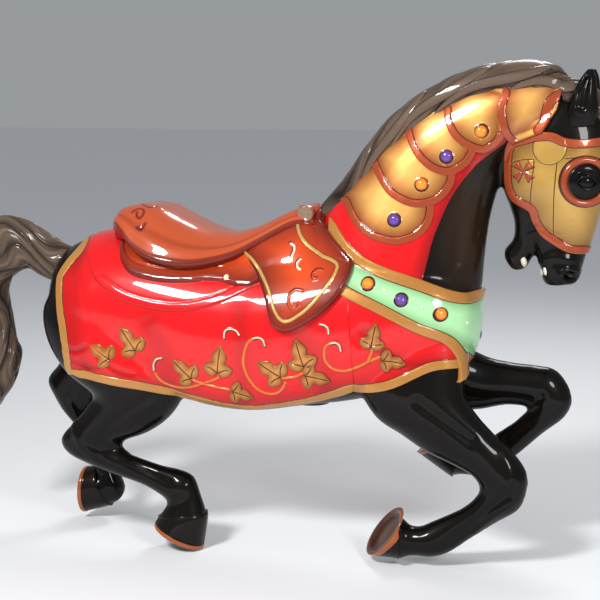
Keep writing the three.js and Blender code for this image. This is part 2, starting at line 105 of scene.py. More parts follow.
TORSO = ribs([
    (-604, 254, -604, 158, 26), (-594, 290, -594, 130, 72), (-566, 330, -566, 98, 114),
    (-510, 356, -510, 72, 143, 0, 2.4), (-430, 369, -430, 50, 154, 0, 2.7),
    (-330, 360, -330, 24, 158, 0, 3.1), (-220, 344, -220, -3, 160, 0, 3.8),
    (-110, 338, -110, -10, 161, 0, 4), (0, 346, 0, 5, 158, 0, 3.6),
    (110, 362, 110, 20, 149, 0, 3.1), (210, 360, 210, 46, 135, 0, 2.6),
    (290, 338, 290, 74, 116, 0, 2.2), (340, 300, 340, 108, 88), (358, 268, 358, 138, 62),
    (366, 240, 366, 168, 32),
])

NECK = ribs([
    (-10, 340, 300, 80, 112), (25, 405, 352, 160, 108), (62, 462, 372, 255, 96),
    (110, 532, 380, 345, 82), (172, 602, 388, 410, 72), (250, 660, 398, 455, 65),
    (335, 700, 408, 490, 61), (420, 718, 418, 530, 58), (500, 716, 440, 570, 55),
    (556, 696, 500, 610, 48),
])

HEAD = ribs([
    (585, 674, 480, 640, 46), (622, 638, 432, 610, 56), (640, 585, 414, 572, 62),
    (640, 535, 410, 532, 66), (633, 495, 413, 495, 66), (624, 462, 420, 465, 62),
    (616, 435, 434, 438, 55), (608, 405, 455, 406, 49), (600, 375, 472, 372, 44, 0, 2.2),
    (592, 348, 486, 344, 43, 0, 2.4), (585, 322, 497, 316, 45, 0, 2.4),
    (578, 298, 501, 292, 42, 0, 2.2), (568, 284, 510, 279, 34),
])

LOWER_JAW = ribs([
    (520, 450, 430, 442, 42), (500, 410, 440, 411, 38), (490, 376, 439, 376, 33),
    (485, 348, 421, 354, 32), (474, 325, 421, 332, 31), (464, 310, 438, 309, 24),
])

NEAR_EAR = ribs([
    (604, 616, 548, 610, 20, -38), (612, 648, 547, 646, 19, -43), (609, 678, 559, 678, 15, -46),
    (605, 710, 574, 710, 9, -46), (598, 729, 588, 728, 4),
], y=-45)

MANE = ribs([
    (14, 430, 40, 410, 22), (50, 473, 92, 438, 38), (86, 518, 132, 484, 44),
    (128, 580, 178, 540, 46), (182, 640, 228, 592, 48), (238, 684, 275, 626, 49),
    (300, 718, 328, 650, 50), (362, 737, 382, 668, 50), (424, 748, 432, 674, 50),
    (482, 749, 480, 672, 48), (522, 739, 512, 668, 43), (548, 716, 532, 660, 36),
    (588, 702, 570, 650, 31), (626, 670, 600, 632, 29), (645, 616, 622, 606, 20),
])

TAIL = ribs([
    (-540, 326, -560, 250, 34), (-575, 336, -605, 250, 37), (-620, 360, -640, 262, 41),
    (-672, 388, -668, 275, 45), (-728, 401, -694, 271, 49), (-790, 380, -716, 252, 52),
    (-831, 320, -726, 218, 54), (-846, 245, -722, 173, 56), (-846, 160, -713, 120, 56),
    (-835, 85, -698, 76, 51), (-818, 20, -708, 32, 44), (-794, -30, -724, -2, 31),
    (-770, -62, -748, -32, 15),
])

NEAR_HIND = ribs([
    (-340, 260, -548, 272, 52, -80), (-300, 180, -598, 210, 64, -84),
    (-268, 98, -590, 132, 70, -88), (-262, 48, -545, 62, 68), (-276, 4, -482, 14, 62),
    (-308, -38, -498, -18, 54), (-355, -70, -528, -54, 45), (-402, -88, -553, -79, 38),
    (-416, -102, -562, -102, 35), (-408, -114, -542, -129, 34), (-386, -123, -484, -153, 32),
    (-356, -133, -420, -173, 28), (-320, -143, -368, -188, 26), (-281, -149, -330, -206, 29),
    (-248, -163, -308, -222, 33), (-232, -202, -312, -234, 31), (-220, -240, -326, -254, 39),
    (-217, -256, -333, -268, 44), (-229, -326, -337, -277, 49),
], y=-90)

FAR_HIND = ribs([
    (-340, 260, -548, 272, 52, 80), (-306, 175, -600, 215, 64, 84), (-322, 82, -612, 138, 66, 88),
    (-400, 18, -624, 82, 54), (-480, -14, -644, 40, 44), (-536, -36, -663, 19, 37),
    (-560, -52, -672, -2, 35), (-563, -70, -656, -34, 33), (-556, -92, -637, -66, 30),
    (-540, -128, -603, -104, 27), (-518, -170, -575, -150, 26), (-497, -215, -556, -198, 28),
    (-482, -252, -545, -226, 33), (-494, -280, -544, -216, 33), (-515, -292, -547, -209, 38),
    (-530, -298, -551, -203, 42), (-584, -314, -584, -208, 46),
], y=90)

NEAR_FORE = ribs([
    (338, 210, 110, 200, 46, -62), (352, 120, 108, 102, 56, -72), (354, 52, 128, 46, 58, -80),
    (380, 10, 165, -8, 53), (412, -24, 215, -39, 46), (443, -54, 270, -74, 40),
    (470, -80, 330, -100, 37), (487, -108, 370, -120, 37), (489, -142, 388, -147, 36),
    (473, -187, 376, -171, 34), (428, -218, 350, -194, 30), (372, -258, 315, -213, 27),
    (325, -293, 285, -228, 29), (285, -306, 262, -240, 33), (250, -305, 238, -240, 30),
    (222, -311, 222, -226, 34, -82, 2, 6), (208, -317, 211, -223, 41, -82, 2, 14),
    (196, -312, 203, -216, 43, -82, 2, 22), (122, -310, 196, -204, 47, -82, 2, 50),
], y=-82)

FAR_FORE = ribs([
    (250, 200, 180, 30, 46, 62), (320, 138, 290, -8, 48, 72), (375, 107, 352, -14, 43, 80),
    (430, 96, 415, 0, 38), (480, 92, 456, 0, 36), (524, 85, 467, -4, 36), (553, 52, 468, -8, 36),
    (563, 14, 464, -12, 35), (547, -21, 456, -18, 33), (505, -56, 438, -36, 30),
    (458, -100, 400, -64, 27), (412, -141, 366, -92, 28), (378, -162, 348, -102, 32),
    (345, -163, 340, -97, 30), (318, -162, 338, -88, 34), (304, -167, 336, -80, 41),
    (294, -162, 334, -72, 43), (224, -115, 334, -60, 46),
], y=82)

# What the front of the saddle rests on, from the seat's middle to the withers.
SADDLE_ARCH = ribs([
    (-165, 325, -165, 150, 105), (-140, 344, -140, 130, 122), (-104, 357, -104, 122, 125),
    (-66, 376, -66, 122, 111), (-34, 388, -34, 122, 108), (-6, 392, -6, 122, 106),
    (20, 384, 20, 122, 104), (44, 366, 44, 130, 100), (58, 345, 58, 150, 90),
])
# The seat from back to front: (x, height, half width, droop of its sides, rise of its rim).
SEAT = [
    (-446, 383, 30, 6, 0), (-437, 407, 66, 12, 2), (-420, 424, 98, 24, 6), (-397, 432, 121, 46, 9),
    (-364, 436, 137, 80, 10), (-326, 430, 147, 92, 8), (-280, 409, 149, 81, 4),
    (-232, 389, 142, 64, 2), (-186, 378, 125, 46, 0), (-146, 382, 105, 38, 0),
    (-104, 396, 86, 30, 0), (-66, 415, 70, 27, 0), (-34, 429, 58, 24, 0), (-6, 433, 50, 24, 0),
    (16, 424, 40, 24, 0),
]


# ---- Meshes as arrays ----


def row_at(rows, t):
    """A smooth curve through every row of a table, at t from 0 to the last row's number."""
    i = min(int(t), len(rows) - 2)
    f = t - i
    a, b, d, e = (np.array(rows[min(max(k, 0), len(rows) - 1)], float) for k in range(i - 1, i + 3))
    return b + 0.5 * f * (d - a + f * (2 * a - 5 * b + 4 * d - e + f * (3 * (b - d) + e - a)))


def curve(points, step=5.0, closed=False):
    """A smooth line through the points, as an array with a point about every step."""
    table = list(points) + ([points[0]] if closed else [])
    table = [tuple(p) for p in table]
    if closed:
        table = [table[-2]] + table + [table[1]]
    first, last = (1, len(table) - 2) if closed else (0, len(table) - 1)
    line = []
    for i in range(first, last):
        count = max(1, round(math.dist(table[i], table[i + 1]) / step))
        line += [row_at(table, i + k / count) for k in range(count)]
    if not closed:
        line.append(np.array(table[-1], float))
    return np.array(line)


def rib_ring(row, sides, swell=0.0):
    """The points round one rib."""
    ux, uz, lx, lz, half, y, square, pull = row
    dx, dz = (ux - lx) / 2, (uz - lz) / 2
    angle = 2 * math.pi * np.arange(sides) / sides
    c, s = np.cos(angle), np.sin(angle)
    power = np.where(s < 0, 2 / square, 1)
    sideways = np.sign(c) * np.abs(c) ** power * (half + swell)
    along = np.sign(s) * np.abs(s) ** power * (1 + swell / math.hypot(dx, dz))
    x = (ux + lx) / 2 + dx * along + pull * (1 - sideways / half) / 2
    return np.stack([x, y + sideways, (uz + lz) / 2 + dz * along], 1)


def tube_faces(rings, sides):
    """Triangles of a closed tube whose two end points follow its rings."""
    k = np.arange(sides)
    n = (k + 1) % sides
    start = (sides * np.arange(rings - 1))[:, None]
    a, b = (start + k).ravel(), (start + n).ravel()
    end = (rings - 1) * sides
    caps = [np.stack([np.full(sides, rings * sides), n, k], 1)]
    caps.append(np.stack([np.full(sides, rings * sides + 1), end + k, end + n], 1))
    walls = [np.stack([a, b, b + sides], 1), np.stack([a, b + sides, a + sides], 1)]
    return np.concatenate(walls + caps)


def closed_tube(rings):
    """Points and outward triangles of a closed tube through rings of points."""
    rings = np.array(rings)
    points = np.concatenate([rings.reshape(-1, 3), [rings[0].mean(0), rings[-1].mean(0)]])
    faces = tube_faces(len(rings), rings.shape[1])
    a, b, c = points[faces[:, 0]], points[faces[:, 1]], points[faces[:, 2]]
    if (a * np.cross(b, c)).sum() < 0:
        faces = faces[:, ::-1]
    return points, faces


def loft(rows, sides, steps):
    count = (len(rows) - 1) * steps
    return closed_tube([rib_ring(row_at(rows, i / steps), sides) for i in range(count + 1)])


def merged(parts):
    """Several meshes as one."""
    points, faces, start = [], [], 0
    for p, f in parts:
        points.append(p)
        faces.append(f + start)
        start += len(p)
    return np.concatenate(points), np.concatenate(faces)


def mirrored(part):
    points, faces = part
    return points * (1, -1, 1), faces[:, ::-1]


def unit(vectors):
    return vectors / np.maximum(np.linalg.norm(vectors, axis=-1, keepdims=True), 1e-12)


def normals_of(points, faces):
    a, b, c = points[faces[:, 0]], points[faces[:, 1]], points[faces[:, 2]]
    across = np.cross(b - a, c - a)
    normals = np.zeros_like(points)
    for k in range(3):
        np.add.at(normals, faces[:, k], across)
    return unit(normals)


def smoothed(values, faces, times):
    """Values at the points, each averaged with its neighbours the given number of times."""
    edges = np.concatenate([faces[:, [0, 1]], faces[:, [1, 2]], faces[:, [2, 0]]])
    edges = np.concatenate([edges, edges[:, ::-1]])
    count = np.bincount(edges[:, 0], minlength=len(values))[:, None]
    values = values.copy()
    for _ in range(times):
        total = np.stack(
            [np.bincount(edges[:, 0], values[edges[:, 1], c], len(values)) for c in range(3)], 1
        )
        mean = total / np.maximum(count, 1)
        values = np.where(count > 0, (values + mean) / 2, values)
    return values


def voxel_union(parts, voxel):
    """The union of closed meshes, remade from small even faces."""
    points, faces = merged(parts)
    mesh = bpy.data.meshes.new("union")
    mesh.from_pydata(points.tolist(), [], faces.tolist())
    thing = add_object("union", mesh)
    remesh = thing.modifiers.new("remesh", "REMESH")
    remesh.mode = "VOXEL"
    remesh.voxel_size = voxel
    made = thing.evaluated_get(bpy.context.evaluated_depsgraph_get()).to_mesh()
    made.calc_loop_triangles()
    points = np.zeros(len(made.vertices) * 3, np.float32)
    made.vertices.foreach_get("co", points)
    faces = np.zeros(len(made.loop_triangles) * 3, np.int32)
    made.loop_triangles.foreach_get("vertices", faces)
    bpy.data.objects.remove(thing)
    return points.reshape(-1, 3).astype(float), faces.reshape(-1, 3).astype(np.int64)


def used_only(points, faces, *more):
    """Drops the points that no face uses."""
    used = np.unique(faces)
    number = np.full(len(points), -1)
    number[used] = np.arange(len(used))
    return (points[used], number[faces], *(m[used] for m in more))


# ---- Side-view measures ----


FAR = 1e3  # stands for any distance beyond what is asked for
ANYWHERE = 1e5  # a reach that leaves no point out


def close_to(points, line, reach):
    """Which points are inside the line's box, grown by reach, in side view."""
    low, high = line.min(0) - reach, line.max(0) + reach
    x, z = points[:, 0], points[:, 2]
    return (x > low[0]) & (x < high[0]) & (z > low[1]) & (z < high[1])


def nearest(points, line, reach=ANYWHERE):
    """Distance in side view from each point to an open line, and the side it is on (1 or -1)."""
    line = np.asarray(line, float)
    close = close_to(points, line, reach)
    x, z = points[close, 0], points[close, 2]
    best, sign = np.full(len(x), 1e18), np.ones(len(x))
    for (ax, az), (bx, bz) in zip(line[:-1], line[1:]):
        dx, dz = bx - ax, bz - az
        px, pz = x - ax, z - az
        t = np.clip((px * dx + pz * dz) / (dx * dx + dz * dz + 1e-12), 0, 1)
        gap = (px - t * dx) ** 2 + (pz - t * dz) ** 2
        near = gap < best
        best[near] = gap[near]
        sign[near] = np.where(dx * pz[near] - dz * px[near] < 0, -1, 1)
    gap, side = np.full(len(points), FAR), np.ones(len(points))
    gap[close], side[close] = np.sqrt(best), sign
    return gap, side


def depth_in(points, outline, reach=ANYWHERE):
    """Distance in side view from each point to a closed outline, positive inside."""
    closed = np.array([*outline, outline[0]], float)
    close = close_to(points, closed, reach)
    x, z = points[close, 0], points[close, 2]
    inside = np.zeros(len(x), bool)
    for (ax, az), (bx, bz) in zip(closed[:-1], closed[1:]):
        if az != bz:
            inside ^= ((az > z) != (bz > z)) & (x < ax + (z - az) * (bx - ax) / (bz - az))
    gap = nearest(points[close], closed)[0]
    depth = np.full(len(points), -FAR)
    depth[close] = np.where(inside, gap, -gap)
    return depth


def split(points, faces, field, level, others):
    """Cuts every triangle that the line field = level crosses."""
    d = field - level
    d = np.where(np.abs(d) < 0.02, 0.02, d)
    above = d > 0
    count = above[faces].sum(1)
    whole = faces[(count == 0) | (count == 3)]
    crossed = faces[(count == 1) | (count == 2)]
    if not len(crossed):
        return points, faces, others
    count = above[crossed].sum(1)
    lone = (above[crossed] == (count == 1)[:, None]).argmax(1)
    turned = np.take_along_axis(crossed, (lone[:, None] + np.arange(3)) % 3, 1)
    pairs = np.concatenate([turned[:, [0, 1]], turned[:, [0, 2]]])
    keys, where = np.unique(np.sort(pairs, 1), axis=0, return_inverse=True)
    where = where.reshape(-1)
    a, b = keys.T
    t = (d[a] / (d[a] - d[b]))[:, None]

    def extended(values):
        return np.concatenate([values, values[a] + t * (values[b] - values[a])])

    m1 = len(points) + where[: len(turned)]
    m2 = len(points) + where[len(turned) :]
    v0, v1, v2 = turned.T
    new = [np.stack(s, 1) for s in ((v0, m1, m2), (m1, v1, v2), (m1, v2, m2))]
    return extended(points), np.concatenate([whole, *new]), [extended(o) for o in others]


# ---- Making Blender objects ----


BOX_GAP = 0.0001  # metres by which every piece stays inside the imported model's box


def make_piece(name, part, materials, shade, index=0):
    """A smooth mesh piece that rides on the body. Its shade picks dark or light paint."""
    points, faces = part
    mesh = bpy.data.meshes.new(name)
    mesh.vertices.add(len(points))
    points = np.clip(points * MM, np.array(cad_low) + BOX_GAP, np.array(cad_high) - BOX_GAP)
    mesh.vertices.foreach_set("co", points.astype(np.float32).ravel())
    mesh.loops.add(len(faces) * 3)
    mesh.loops.foreach_set("vertex_index", faces.astype(np.int32).ravel())
    mesh.polygons.add(len(faces))
    mesh.polygons.foreach_set("loop_start", np.arange(0, len(faces) * 3, 3, dtype=np.int32))
    for material in materials:
        mesh.materials.append(material)
    mesh.polygons.foreach_set("material_index", np.full(len(faces), index, np.int32))
    shades = mesh.attributes.new("shade", "FLOAT", "POINT")
    shades.data.foreach_set("value", np.full(len(points), shade, np.float32))
    mesh.update(calc_edges=True)
    mesh.validate()
    mesh.polygons.foreach_set("use_smooth", np.ones(len(mesh.polygons), bool))
    piece = add_object(name, mesh)
    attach(piece, "root")
    return piece


# ---- Paints ----


def set_inputs(tree, node, inputs):
    """Gives each socket its value, or links it to the output given in its place."""
    for key, value in inputs.items():
        if isinstance(value, bpy.types.NodeSocket):
            tree.links.new(value, node.inputs[key])
        else:
            node.inputs[key].default_value = value


# The output that is read of each kind of node, where its name isn't Result.
OUTPUTS = {
    "TexCoord": "Object", "Attribute": "Fac", "TexNoise": "Fac", "Math": "Value", "Bump": "Normal",
}


def add_node(tree, kind, inputs, **settings):
    """A new shader node and its output."""
    node = tree.nodes.new("ShaderNode" + kind)
    for key, value in settings.items():
        setattr(node, key, value)
    set_inputs(tree, node, inputs)
    return node.outputs[OUTPUTS.get(kind, "Result")]


def paint(
    name, dark, light, roughness=0.3, metallic=0.0, mottle=0.3, grain=0.0, scale=9, gloss=0.12, coat=0.8
):
    """Paint under clear lacquer, from dark to light by the point value "shade": airbrushed tone, painted
    shade and painted highlights.
    """
    material = bpy.data.materials.new(name)
    material.use_nodes = True
    tree = material.node_tree
    place = add_node(tree, "TexCoord", {})
    cloud = add_node(tree, "TexNoise", {"Vector": place, "Scale": scale, "Detail": 4})
    shade = add_node(tree, "Attribute", {}, attribute_name="shade")
    spread = add_node(tree, "Math", {0: cloud, 1: mottle, 2: -mottle / 2}, operation="MULTIPLY_ADD")
    total = add_node(tree, "Math", {0: shade, 1: spread}, operation="ADD", use_clamp=True)
    ends = {"Factor": total, "A": (*dark, 1), "B": (*light, 1)}
    colour = add_node(tree, "Mix", ends, data_type="RGBA")
    fine = add_node(tree, "TexNoise", {"Vector": place, "Scale": 90, "Detail": 3})
    span = {"Value": fine, "To Min": roughness * 0.8, "To Max": roughness * 1.25}
    bump = add_node(tree, "Bump", {"Height": fine, "Strength": 0.04 + grain, "Distance": 0.002})
    looks = {"Base Color": colour, "Roughness": add_node(tree, "MapRange", span), "Normal": bump}
    looks |= {"Metallic": metallic, "Specular IOR Level": gloss}
    looks |= {"Coat Weight": coat, "Coat Roughness": 0.04}
    set_inputs(tree, tree.nodes["Principled BSDF"], looks)
    return material


BLACK = paint("black", (0.0025, 0.002, 0.0016), (0.05, 0.027, 0.014), mottle=0.1, gloss=0.06, coat=0.33)
RED = paint("scarlet", (0.28, 0.002, 0.003), (0.72, 0.005, 0.007), mottle=0.2)
BORDER = paint("gold_border", (0.24, 0.07, 0.012), (0.56, 0.26, 0.06), metallic=0.2, mottle=0.5)
LINE = paint("dark_line", (0.03, 0.006, 0.004), (0.06, 0.012, 0.006))
PLATE = paint("plate_gold", (0.29, 0.065, 0.013), (0.75, 0.39, 0.1), metallic=0.25, mottle=0.55)
COPPER = paint("copper_edge", (0.15, 0.016, 0.006), (0.42, 0.075, 0.022), metallic=0.2)
OLIVE = paint("face_gold", (0.25, 0.12, 0.022), (0.56, 0.33, 0.075), metallic=0.25, mottle=0.4)
MINT = paint("mint", (0.24, 0.5, 0.22), (0.42, 0.76, 0.39), mottle=0.2)
TAN = paint("saddle_tan", (0.13, 0.008, 0.003), (0.74, 0.075, 0.012), mottle=0.35)
SEAT_TAN = paint("seat_tan", (0.15, 0.01, 0.004), (0.6, 0.1, 0.028), mottle=0.3)
DEEP = paint("saddle_deep", (0.06, 0.004, 0.002), (0.3, 0.014, 0.006))
INLAY = paint("gold_inlay", (0.36, 0.15, 0.03), (0.72, 0.44, 0.13), metallic=0.25)
LEAF = paint("leaf_gold", (0.24, 0.07, 0.011), (0.58, 0.24, 0.047), metallic=0.25, scale=30)
VINE = paint("vine_copper", (0.42, 0.06, 0.01), (0.84, 0.19, 0.035), metallic=0.2)
# Cream: the strap's pearls and the saddle's stud, and painted highlights on the vines' hooks and the
# flap's marks.
CREAM = paint("cream_and_painted_highlight", (0.5, 0.42, 0.28), (0.85, 0.78, 0.6))
HAIR = paint("hair", (0.012, 0.007, 0.005), (0.19, 0.125, 0.085), roughness=0.38, mottle=0.5, coat=0.35)
HOOF = paint("hoof_copper", (0.2, 0.04, 0.008), (0.42, 0.11, 0.025))
SOLE = paint("sole_brown", (0.03, 0.01, 0.005), (0.13, 0.045, 0.018), grain=0.15)
TOOTH = paint("tooth", (0.5, 0.42, 0.3), (0.8, 0.75, 0.62))
TAUPE = paint("taupe", (0.14, 0.08, 0.05), (0.33, 0.22, 0.15))
AMBER = paint("amber", (0.45, 0.06, 0.005), (0.95, 0.3, 0.03), roughness=0.1, scale=40)
VIOLET = paint("violet", (0.02, 0.008, 0.06), (0.16, 0.07, 0.36), roughness=0.1, scale=40)

# ---- The skin under everything ----

VOXEL = 4.8  # size of the skin's faces
SKIN_SMOOTH, NORMAL_SMOOTH = 7, 12  # times that the skin and its facing are averaged
BORE_RADIUS = 21.5  # of the hole for the pole
MIDLINE = 12  # what is nearer than this to the middle belongs to neither side


def body_parts():
    """The closed forms whose union is the bare horse, without its ears and the horn of its hooves."""
    legs = [loft(rows[:-1], 24, 4) for rows in (NEAR_HIND, FAR_HIND, NEAR_FORE, FAR_FORE)]
    head = [loft(HEAD, 32, 4), loft(LOWER_JAW, 24, 4)]
    return [loft(TORSO, 40, 4), loft(NECK, 32, 4), loft(SADDLE_ARCH, 32, 4)] + legs + head


EAR_HOLLOW = [(578, 655), (581, 682), (589, 710)]


def make_ear():
    """The right ear, hollowed towards the viewer's side."""
    points, faces = loft(NEAR_EAR, 56, 12)
    normals = normals_of(points, faces)
    gap = nearest(points, curve(EAR_HOLLOW))[0]
    narrow = np.interp(points[:, 2], [650, 680, 712], [11, 10, 4])
    outward = np.clip(-normals[:, 1] * 2, 0, 1)
    hollow = 7 * np.exp(-((gap / narrow) ** 3)) - 1.6 * np.exp(-(((gap - narrow - 3) / 2.5) ** 2))
    return points - normals * (hollow * outward)[:, None], faces


def carve(points, normals, line, half, depth, side):
    """Sinks (or with a negative depth raises) the skin softly along a line on one side."""
    gap = nearest(points, curve(line), 3 * half)[0]
    facing = points[:, 1] * side > MIDLINE
    return points - normals * (depth * np.exp(-((gap / half) ** 2)) * facing)[:, None]


BOTH = (-1, 1)  # the right side and the left
# Hollows and ridges of the limbs, neck and face: (sides, half width, depth, side line).
MODELLING = [
    ([-1], 9, 4, [(452, -150), (418, -178), (372, -222), (330, -258)]),
    ([-1], 7, -2.5, [(462, -166), (424, -196), (378, -240)]),
    ([-1], 10, 4, [(-395, -128), (-350, -152), (-300, -172)]),
    ([-1], 12, 4, [(-330, 20), (-390, -20), (-440, -62)]),
    ([-1], 11, -4, [(-520, -60), (-500, -98), (-470, -120)]),
    ([-1], 12, 5, [(262, 40), (312, 4), (372, -38)]),
    ([-1], 10, -3, [(440, -60), (455, -96), (452, -130)]),
    ([1], 8, 4, [(500, 30), (470, -20), (420, -66)]),
    ([1], 10, 4, [(-600, -30), (-560, -120), (-530, -190)]),
    (BOTH, 14, 5, [(418, 545), (392, 500), (378, 440), (372, 380)]),
    (BOTH, 12, 4, [(372, 520), (352, 460), (338, 400), (330, 330)]),
    (BOTH, 8, -3, [(500, 330), (530, 344), (562, 338)]),
    (BOTH, 6, 3, [(476, 398), (500, 404), (540, 386)]),
]
NOSTRIL_PLACE, NOSTRIL_SIZE = (561, 304), 9
NOSTRIL_CUTS = (5, 8, 10.5, 14, 18)  # rings round it that give it finer faces
NOSTRIL_REACH = 40


def nostril_gap(points, side):
    """How far each point is from one nostril's middle, in side view and on that side alone."""
    x, z = NOSTRIL_PLACE
    gap = np.hypot((points[:, 0] - x) * 0.8, points[:, 2] - z)
    return np.where(points[:, 1] * side > MIDLINE, np.minimum(gap, NOSTRIL_REACH), NOSTRIL_REACH)


def carved_skin():
    points, faces = voxel_union(body_parts(), VOXEL)
    points = smoothed(points, faces, SKIN_SMOOTH)
    normals = unit(smoothed(normals_of(points, faces), faces, NORMAL_SMOOTH))
    for sides, half, depth, line in MODELLING:
        for side in sides:
            points = carve(points, normals, line, half, depth, side)
    for side in BOTH:
        for radius in NOSTRIL_CUTS:
            gap = nostril_gap(points, side)
            points, faces, (normals,) = split(points, faces, gap, radius, [normals])
        gap = nostril_gap(points, side)
        flare = 3.5 * np.exp(-(((gap - 14) / 5) ** 2)) - 12 * np.exp(-((gap / NOSTRIL_SIZE) ** 4))
        points = points + normals * flare[:, None]
    around = np.hypot(points[:, 0], points[:, 1])
    points, faces, (normals,) = split(points, faces, around, BORE_RADIUS + 1, [normals])
    around = np.hypot(points[:, 0], points[:, 1])
    return points, faces[around[faces].mean(1) > BORE_RADIUS + 1], normals


skin_points, skin_faces, skin_normals = carved_skin()
skin_tree = BVHTree.FromPolygons(skin_points.tolist(), skin_faces.tolist())


BESIDE = 400  # a distance from the middle that is clear of the horse


def skin_at(x, z, side):
    """Where the skin is beside (x, z), and its smooth facing."""
    hit, _, index, _ = skin_tree.ray_cast(Vector((x, side * BESIDE, z)), Vector((0, -side, 0)))
    return np.array(hit), unit(skin_normals[skin_faces[index]].mean(0))


# ---- Painted and raised layers ----


NEAR = 12.0  # beyond this from a line, its distance doesn't matter
SINK = 2.0  # how far the foot of a sheet's edge goes into the skin
MARK_SHADE = 0.75  # the shade of raised marks


class Sheet:
    """A layer of the casting: the skin inside a side outline, lifted off it with a rounded edge."""

    def __init__(self, outline, lift, material, edge=2.0, region=None):
        self.lift, self.materials, self.marks = lift, [material], []
        depth = depth_in(skin_points + skin_normals * lift, outline)
        keep = (depth[skin_faces] > -NEAR).any(1)
        if region is not None:
            keep &= region(skin_points[skin_faces].mean(1))
        self.keep_used(skin_points, skin_faces[keep], skin_normals, depth[:, None])
        turns = np.linspace(0, math.pi / 2, 4)
        self.profile = [(0, -SINK)]
        self.profile += [(0.1 + edge * (1 - math.cos(a)), lift - edge * (1 - math.sin(a))) for a in turns]
        for level, _ in self.profile:
            self.cut(self.depth[:, 0], [level])
        inside = self.faces[self.depth[self.faces].mean(1)[:, 0] > 0]
        self.keep_used(self.points, inside, self.normals, self.depth)

    def keep_used(self, *arrays):
        self.points, self.faces, self.normals, self.depth = used_only(*arrays)

    def lifted(self):
        return self.points + self.normals * self.lift

    def cut(self, field, levels):
        field = field[:, None]
        for level in levels:
            others = [self.normals, self.depth, field]
            made = split(self.points, self.faces, field[:, 0], level, others)
            self.points, self.faces, (self.normals, self.depth, field) = made

    def stroke(self, line, half, rise, material, edge=1.0):
        """A raised or sunk line of the given half width. Without a material it is only a shape."""
        gap, side = nearest(self.lifted(), line, half + NEAR)
        self.cut(np.minimum(gap, half + NEAR) * side, [0, half - edge, edge - half, half, -half])
        self.marks.append((lambda at: half - nearest(at, line, half + NEAR)[0], rise, material, edge))

    def patch(self, outline, rise, material, edge=1.0):
        """A raised or sunk patch inside a closed outline."""
        self.cut(np.maximum(depth_in(self.lifted(), outline, NEAR), -NEAR), [0, edge])
        self.marks.append((lambda at: depth_in(at, outline, NEAR), rise, material, edge))

    def build(self, name, centre=60.0, rim=0.0, folds=(), floor=0.0, rim_line=None):
        """Makes the piece. Its shade rises inwards from floor at the rim over the length centre."""
        seen = self.lifted()
        middle = seen[self.faces].mean(1)
        inwards = self.depth[:, 0]
        lift = np.interp(inwards, *zip(*self.profile))
        if rim_line is not None:
            inwards = nearest(seen, curve(rim_line, 8), 2 * rim + centre)[0]
        # The shade is lowest at the rim and rises inwards: painted shadow along the inside of the
        # blanket's and apron's borders, a darker edge on the other pieces.
        shade = floor + (1 - floor) * np.clip((inwards - rim) / centre, 0, 1)
        # Inside a border band the shade peaks in the band's middle: a painted highlight along the band.
        band = np.sin(math.pi * np.clip(inwards / max(rim, 1), 0, 1))
        shade = np.where(inwards < rim, band, shade)
        # Folds: painted shade in the sunk ones, a little painted highlight on the raised ones.
        for line, half, rise in folds:
            near = np.exp(-((nearest(seen, curve(line, 12), 3 * half)[0] / half) ** 2))
            lift = lift + rise * near
            shade = shade - 0.4 * near * (rise < 0) + 0.1 * near * (rise > 0)
        index = np.zeros(len(self.faces), int)
        for reach, rise, material, edge in self.marks:
            lift = lift + rise * np.clip(reach(seen) / edge, 0, 1)
            if material is None:
                continue
            if rise:
                shade = np.where(reach(seen) > 0, MARK_SHADE, shade)
            if material not in self.materials:
                self.materials.append(material)
            index[reach(middle) > 0] = self.materials.index(material)
        points = self.points + self.normals * lift[:, None]
        make_piece(name, (points, self.faces), self.materials, shade, index)


def outline(*parts):
    """A closed outline from smooth stretches (lists of more than two points) and corners."""
    return np.concatenate([curve(p) if len(p) > 2 else np.array(p, float) for p in parts])


def circle(x, z, radius, count=40):
    turn = 2 * math.pi * np.arange(count) / count
    return np.stack([x + radius * np.cos(turn), z + radius * np.sin(turn)], 1)


def bordered(sheet, line, width, rise=1.5, material=BORDER):
    """A raised border along one edge of a sheet, with thin dark lines beside it."""
    path = curve(line)
    sheet.stroke(path, width + 1.6, 0, LINE, edge=0.4)
    sheet.stroke(path, width, rise, material, edge=1.5)


# ---- Side lines of the harness ----

HEM = [
    (-509, 64), (-489, 58), (-469, 57), (-404, 47), (-342, 39), (-288, 27), (-254, 20), (-213, 15),
    (-156, 7), (-101, 5), (-81, 6), (11, 20), (83, 38), (121, 53),
]
BLANKET_REAR = [
    (-518, 343), (-551, 286), (-552, 256), (-546, 207), (-536, 158), (-530, 109), (-528, 76),
    (-521, 60),
]
APRON_HEM = [(104, 60), (136, 51), (183, 59), (220, 72), (278, 101), (306, 109), (343, 111)]
SADDLE_BASE = [
    (-418, 372), (-408, 345), (-394, 318), (-368, 294), (-325, 283), (-280, 279), (-232, 281),
    (-200, 286), (-166, 284), (-133, 277), (-100, 276),
]
PAD_EDGE = [(-441, 268), (-385, 236), (-315, 219), (-247, 216), (-172, 233), (-98, 268), (-77, 276)]
FLAP = [
    (-150, 352), (-116, 332), (-87, 300), (-66, 262), (-53, 226), (-42, 198), (-21, 185), (6, 189),
    (41, 210), (69, 233), (98, 268), (115, 305), (118, 326), (114, 336), (95, 353), (57, 386),
    (38, 404), (27, 412),
]
FLAP_LINE = [
    (-137, 345), (-104, 329), (-76, 300), (-54, 269), (-37, 230), (-21, 210), (-3, 209), (29, 231),
    (52, 256), (77, 290), (87, 313), (86, 324), (73, 332), (45, 341), (15, 360), (-4, 378),
    (-18, 399),
]
STRAP_TOP_EDGE = [
    (69, 404), (104, 365), (139, 340), (185, 320), (232, 305), (273, 292), (325, 273), (361, 266),
]
